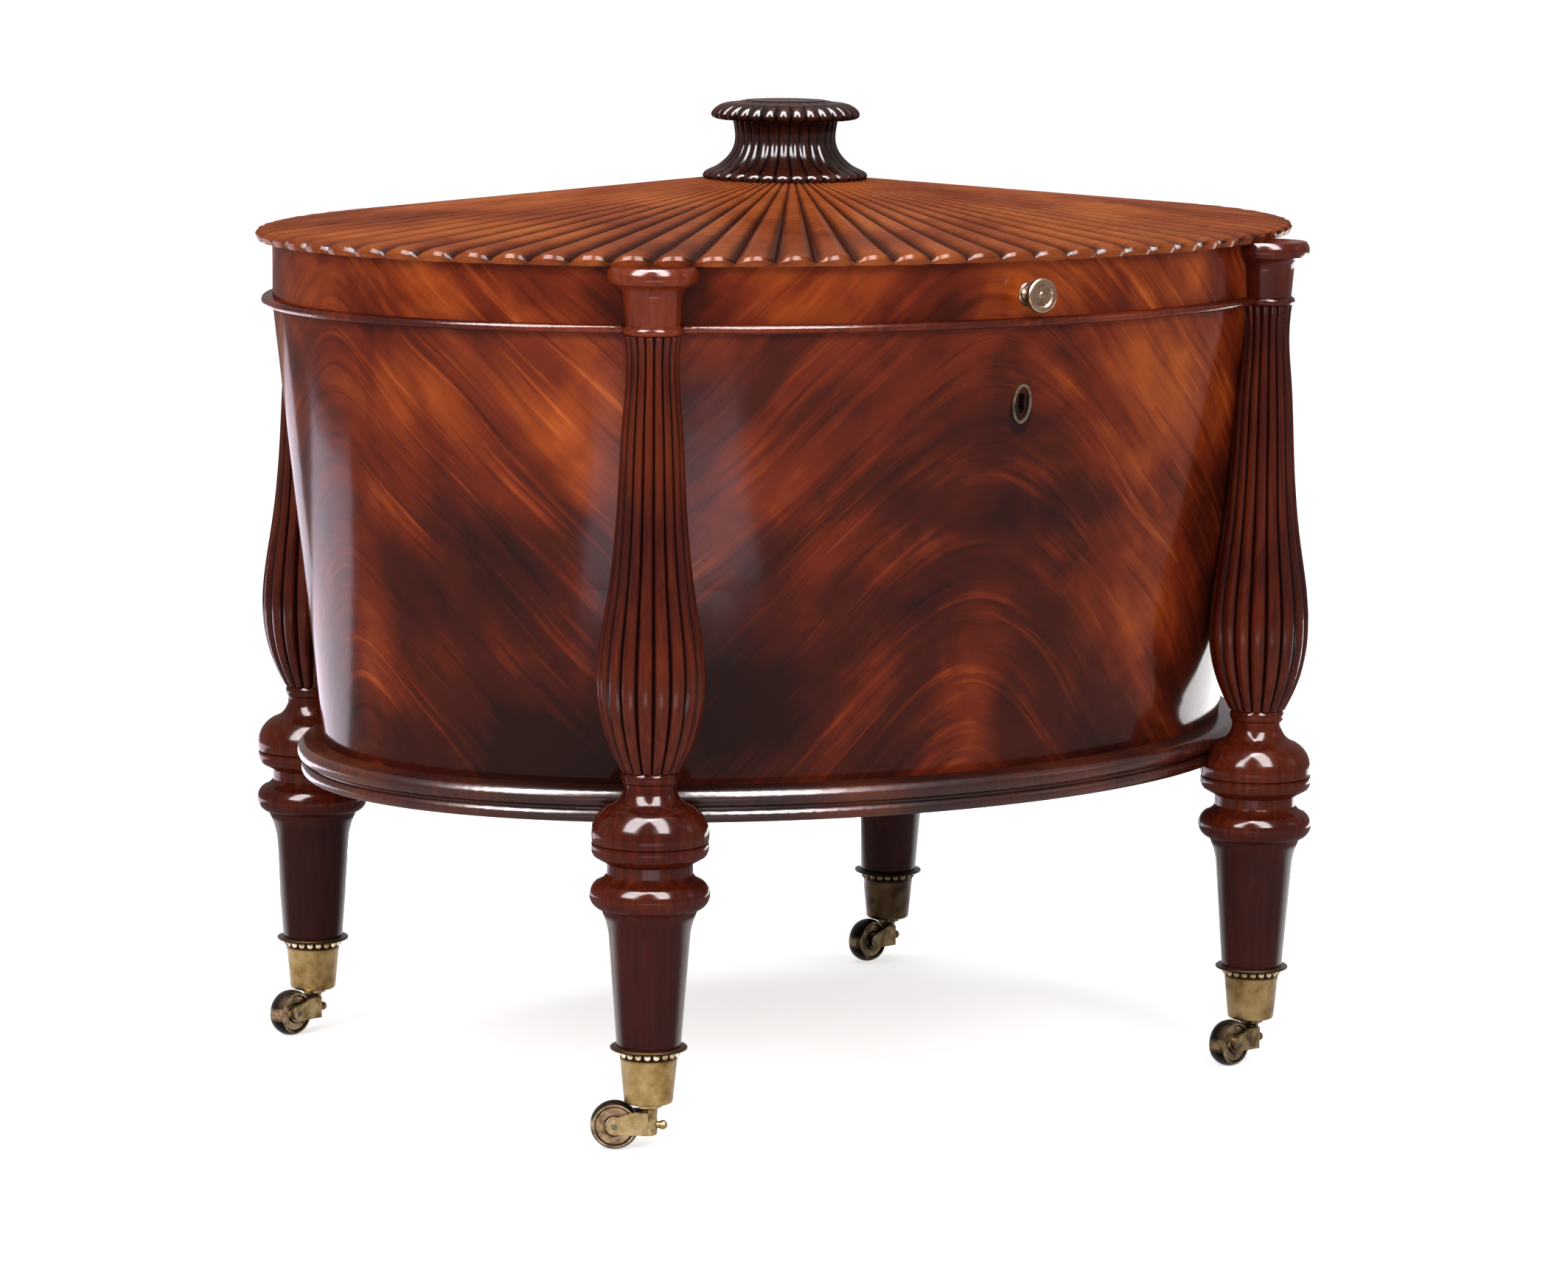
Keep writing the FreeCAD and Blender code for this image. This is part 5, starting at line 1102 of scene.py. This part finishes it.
@dataclass(frozen=True)
class Studio:
    """White room with softboxes, cards and sheets for the polish to mirror, and the camera."""

    # Camera: angles in radians, lengths in metres, then the picture in pixels and the sensor in
    # millimetres.  It looks at a point over the middle of the oval.
    azimuth: float = 0.6036
    elevation: float = 0.1469
    roll: float = 0.0092
    distance: float = 3.8
    target_height: float = 0.2565
    focal_pixels: float = 7653.07
    picture_width: int = 2127
    picture_height: int = 1736
    centre_x: float = 1058.63
    centre_y: float = 911.20
    sensor: float = 36.0

    # Room: strength 1 is white.
    soft_strength: float = 0.32  # what lights the piece
    white_strength: float = 1.0  # what the eye and the polish see
    floor_size: float = 40.0
    floor_colour: str = "#F2F2F2"
    near: float = 0.8  # the floor glows the least within this distance of the middle, in metres
    far: float = 1.8  # and the most beyond this one
    near_glow: float = 0.64
    far_glow: float = 0.76
    sheet_height: float = 4 * MM
    lilac: Triple = (0.93, 0.85, 1.0)

    def make(self) -> None:
        """Build the whole studio."""
        self.make_camera()
        self.make_world()
        self.make_floor()
        for light in self.lights():
            light.make()
        bpy.context.scene.view_settings.view_transform = "Standard"
        LOG.info("made the studio")

    def lights(self) -> tuple[Softbox, ...]:
        """Return the lights: four that light the piece, and six that only show in its polish."""
        return (
            Softbox("left softbox", (-2.3, -1.0, 1.7), 1.0, 1.2, 38),
            Softbox("front softbox", (-0.6, -2.5, 1.9), 1.4, 1.0, 36),
            Softbox("right softbox", (2.2, -1.7, 1.5), 0.6, 0.9, 6),
            Softbox("ceiling softbox", (0.0, 0.1, 2.8), 2.4, 1.8, 42),
            # White lines and spots on the mouldings and knops.
            Softbox("left sheen card", (-1.6, -0.4, 3.0), 1.4, 4.2, 1790, sheen_only=True),
            Softbox("front sheen card", (-0.2, -1.65, 3.0), 1.2, 4.2, 1540, sheen_only=True),
            # The wall leans out over the floor and mirrors what lies there: the haze on the left end
            # and its bright outer edge, the white gleam at the front right leg, and the haze on both
            # sides of the front left column.
            self.sheet("back sheet", -0.345, 1.347, 2.0, 1.1, 97, self.lilac, -0.374),
            self.sheet("far sheet", 0.7, 2.75, 1.8, 1.7, 96, self.lilac),
            self.sheet("right sheet", 1.9, 0.7, 1.6, 1.8, 220),
            self.sheet("front haze sheet", -0.78, -1.13, 0.8, 0.45, 12, self.lilac, -0.61),
        )

    def sheet(self, name: str, x: float, y: float, width: float, depth: float, power: float,
              colour: Triple = WHITE, spin: float = 0.0) -> Softbox:
        """Lay a sheet on the floor, facing up, for the polish to mirror.

        Args:
            name: What it is.
            x: Its middle in metres.
            y: Its middle in metres.
            width: Its width in metres.
            depth: Its depth in metres.
            power: Its power in watts.
            colour: Its colour in linear light.
            spin: Its turn about the upright, in radians.

        Returns:
            The sheet.
        """
        overhead = (x, y, 1.0)
        return Softbox(name, (x, y, self.sheet_height), width, depth, power, overhead, True, colour, spin)

    def make_camera(self) -> None:
        """Set up the camera."""
        ahead = Vector((math.sin(self.azimuth) * math.cos(self.elevation),
                        math.cos(self.azimuth) * math.cos(self.elevation), -math.sin(self.elevation)))
        flat_right = ahead.cross(Vector((0, 0, 1))).normalized()
        flat_up = flat_right.cross(ahead)
        right = flat_right * math.cos(self.roll) + flat_up * math.sin(self.roll)
        up = flat_up * math.cos(self.roll) - flat_right * math.sin(self.roll)
        data = bpy.data.cameras.new("camera")
        data.sensor_width = self.sensor
        data.lens = self.sensor * self.focal_pixels / self.picture_width
        data.shift_x = (self.picture_width / 2 - self.centre_x) / self.picture_width
        data.shift_y = (self.centre_y - self.picture_height / 2) / self.picture_width
        camera = bpy.data.objects.new("camera", data)
        bpy.context.scene.collection.objects.link(camera)
        turn = Matrix((right, up, -ahead)).transposed().to_4x4()
        camera.matrix_world = Matrix.Translation(
            Vector((0, 0, self.target_height)) - ahead * self.distance) @ turn
        bpy.context.scene.camera = camera

    def make_world(self) -> None:
        """Make the backdrop: white for the eye and for reflections, softer light for the rest."""
        world = bpy.data.worlds.new("white room")
        bpy.context.scene.world = world
        graph = Graph(world)
        path = graph.add("ShaderNodeLightPath")
        seen = graph.calc("MAXIMUM", path.outputs["Is Camera Ray"], path.outputs["Is Glossy Ray"])
        shown = graph.calc("MAXIMUM", seen, path.outputs["Is Transmission Ray"])
        soft = graph.add("ShaderNodeBackground", {
            "Color": (*WHITE, 1.0), "Strength": self.soft_strength})
        white = graph.add("ShaderNodeBackground", {
            "Color": (*WHITE, 1.0), "Strength": self.white_strength})
        mixed = graph.add("ShaderNodeMixShader", {0: shown, 1: soft, 2: white})
        graph.show(mixed, "World")

    def make_floor(self) -> None:
        """Lay a pale floor that keeps the cellarette's shadow; it looks like matt white paper."""
        bpy.ops.object.select_all(action="DESELECT")
        bpy.ops.mesh.primitive_plane_add(size=self.floor_size)
        floor = bpy.context.object
        floor.name = "floor"
        graph = Graph(bpy.data.materials.new("matt white paper"))
        path = graph.add("ShaderNodeLightPath")
        seen = graph.calc("MAXIMUM", path.outputs["Is Camera Ray"], path.outputs["Is Glossy Ray"])
        away = graph.add("ShaderNodeVectorMath", {0: graph.place["Object"]}, operation="LENGTH")
        level = graph.remap(
            away.outputs["Value"], (self.near, self.far), (self.near_glow, self.far_glow), smooth=True)
        lift = graph.calc("MULTIPLY", seen, level)
        paper = graph.add("ShaderNodeBsdfDiffuse", {"Color": linear(self.floor_colour)})
        glow = graph.add("ShaderNodeEmission", {"Color": (*WHITE, 1.0), "Strength": lift})
        both = graph.add("ShaderNodeAddShader", {0: paper, 1: glow})
        graph.show(both)
        floor.data.materials.append(graph.owner)


def main() -> None:
    """Build every sub-assembly in order, then the studio."""
    finishes = {finish: finish.value.build() for finish in Finish}
    Tub().make(finishes)
    for caster in CASTERS:
        Leg(caster.corner).make(finishes)
        caster.make(finishes)
    Lid().make(finishes)
    Fittings().make(finishes)
    Studio().make()


if __name__ == "__main__":
    logging.basicConfig(level=logging.INFO)
    main()
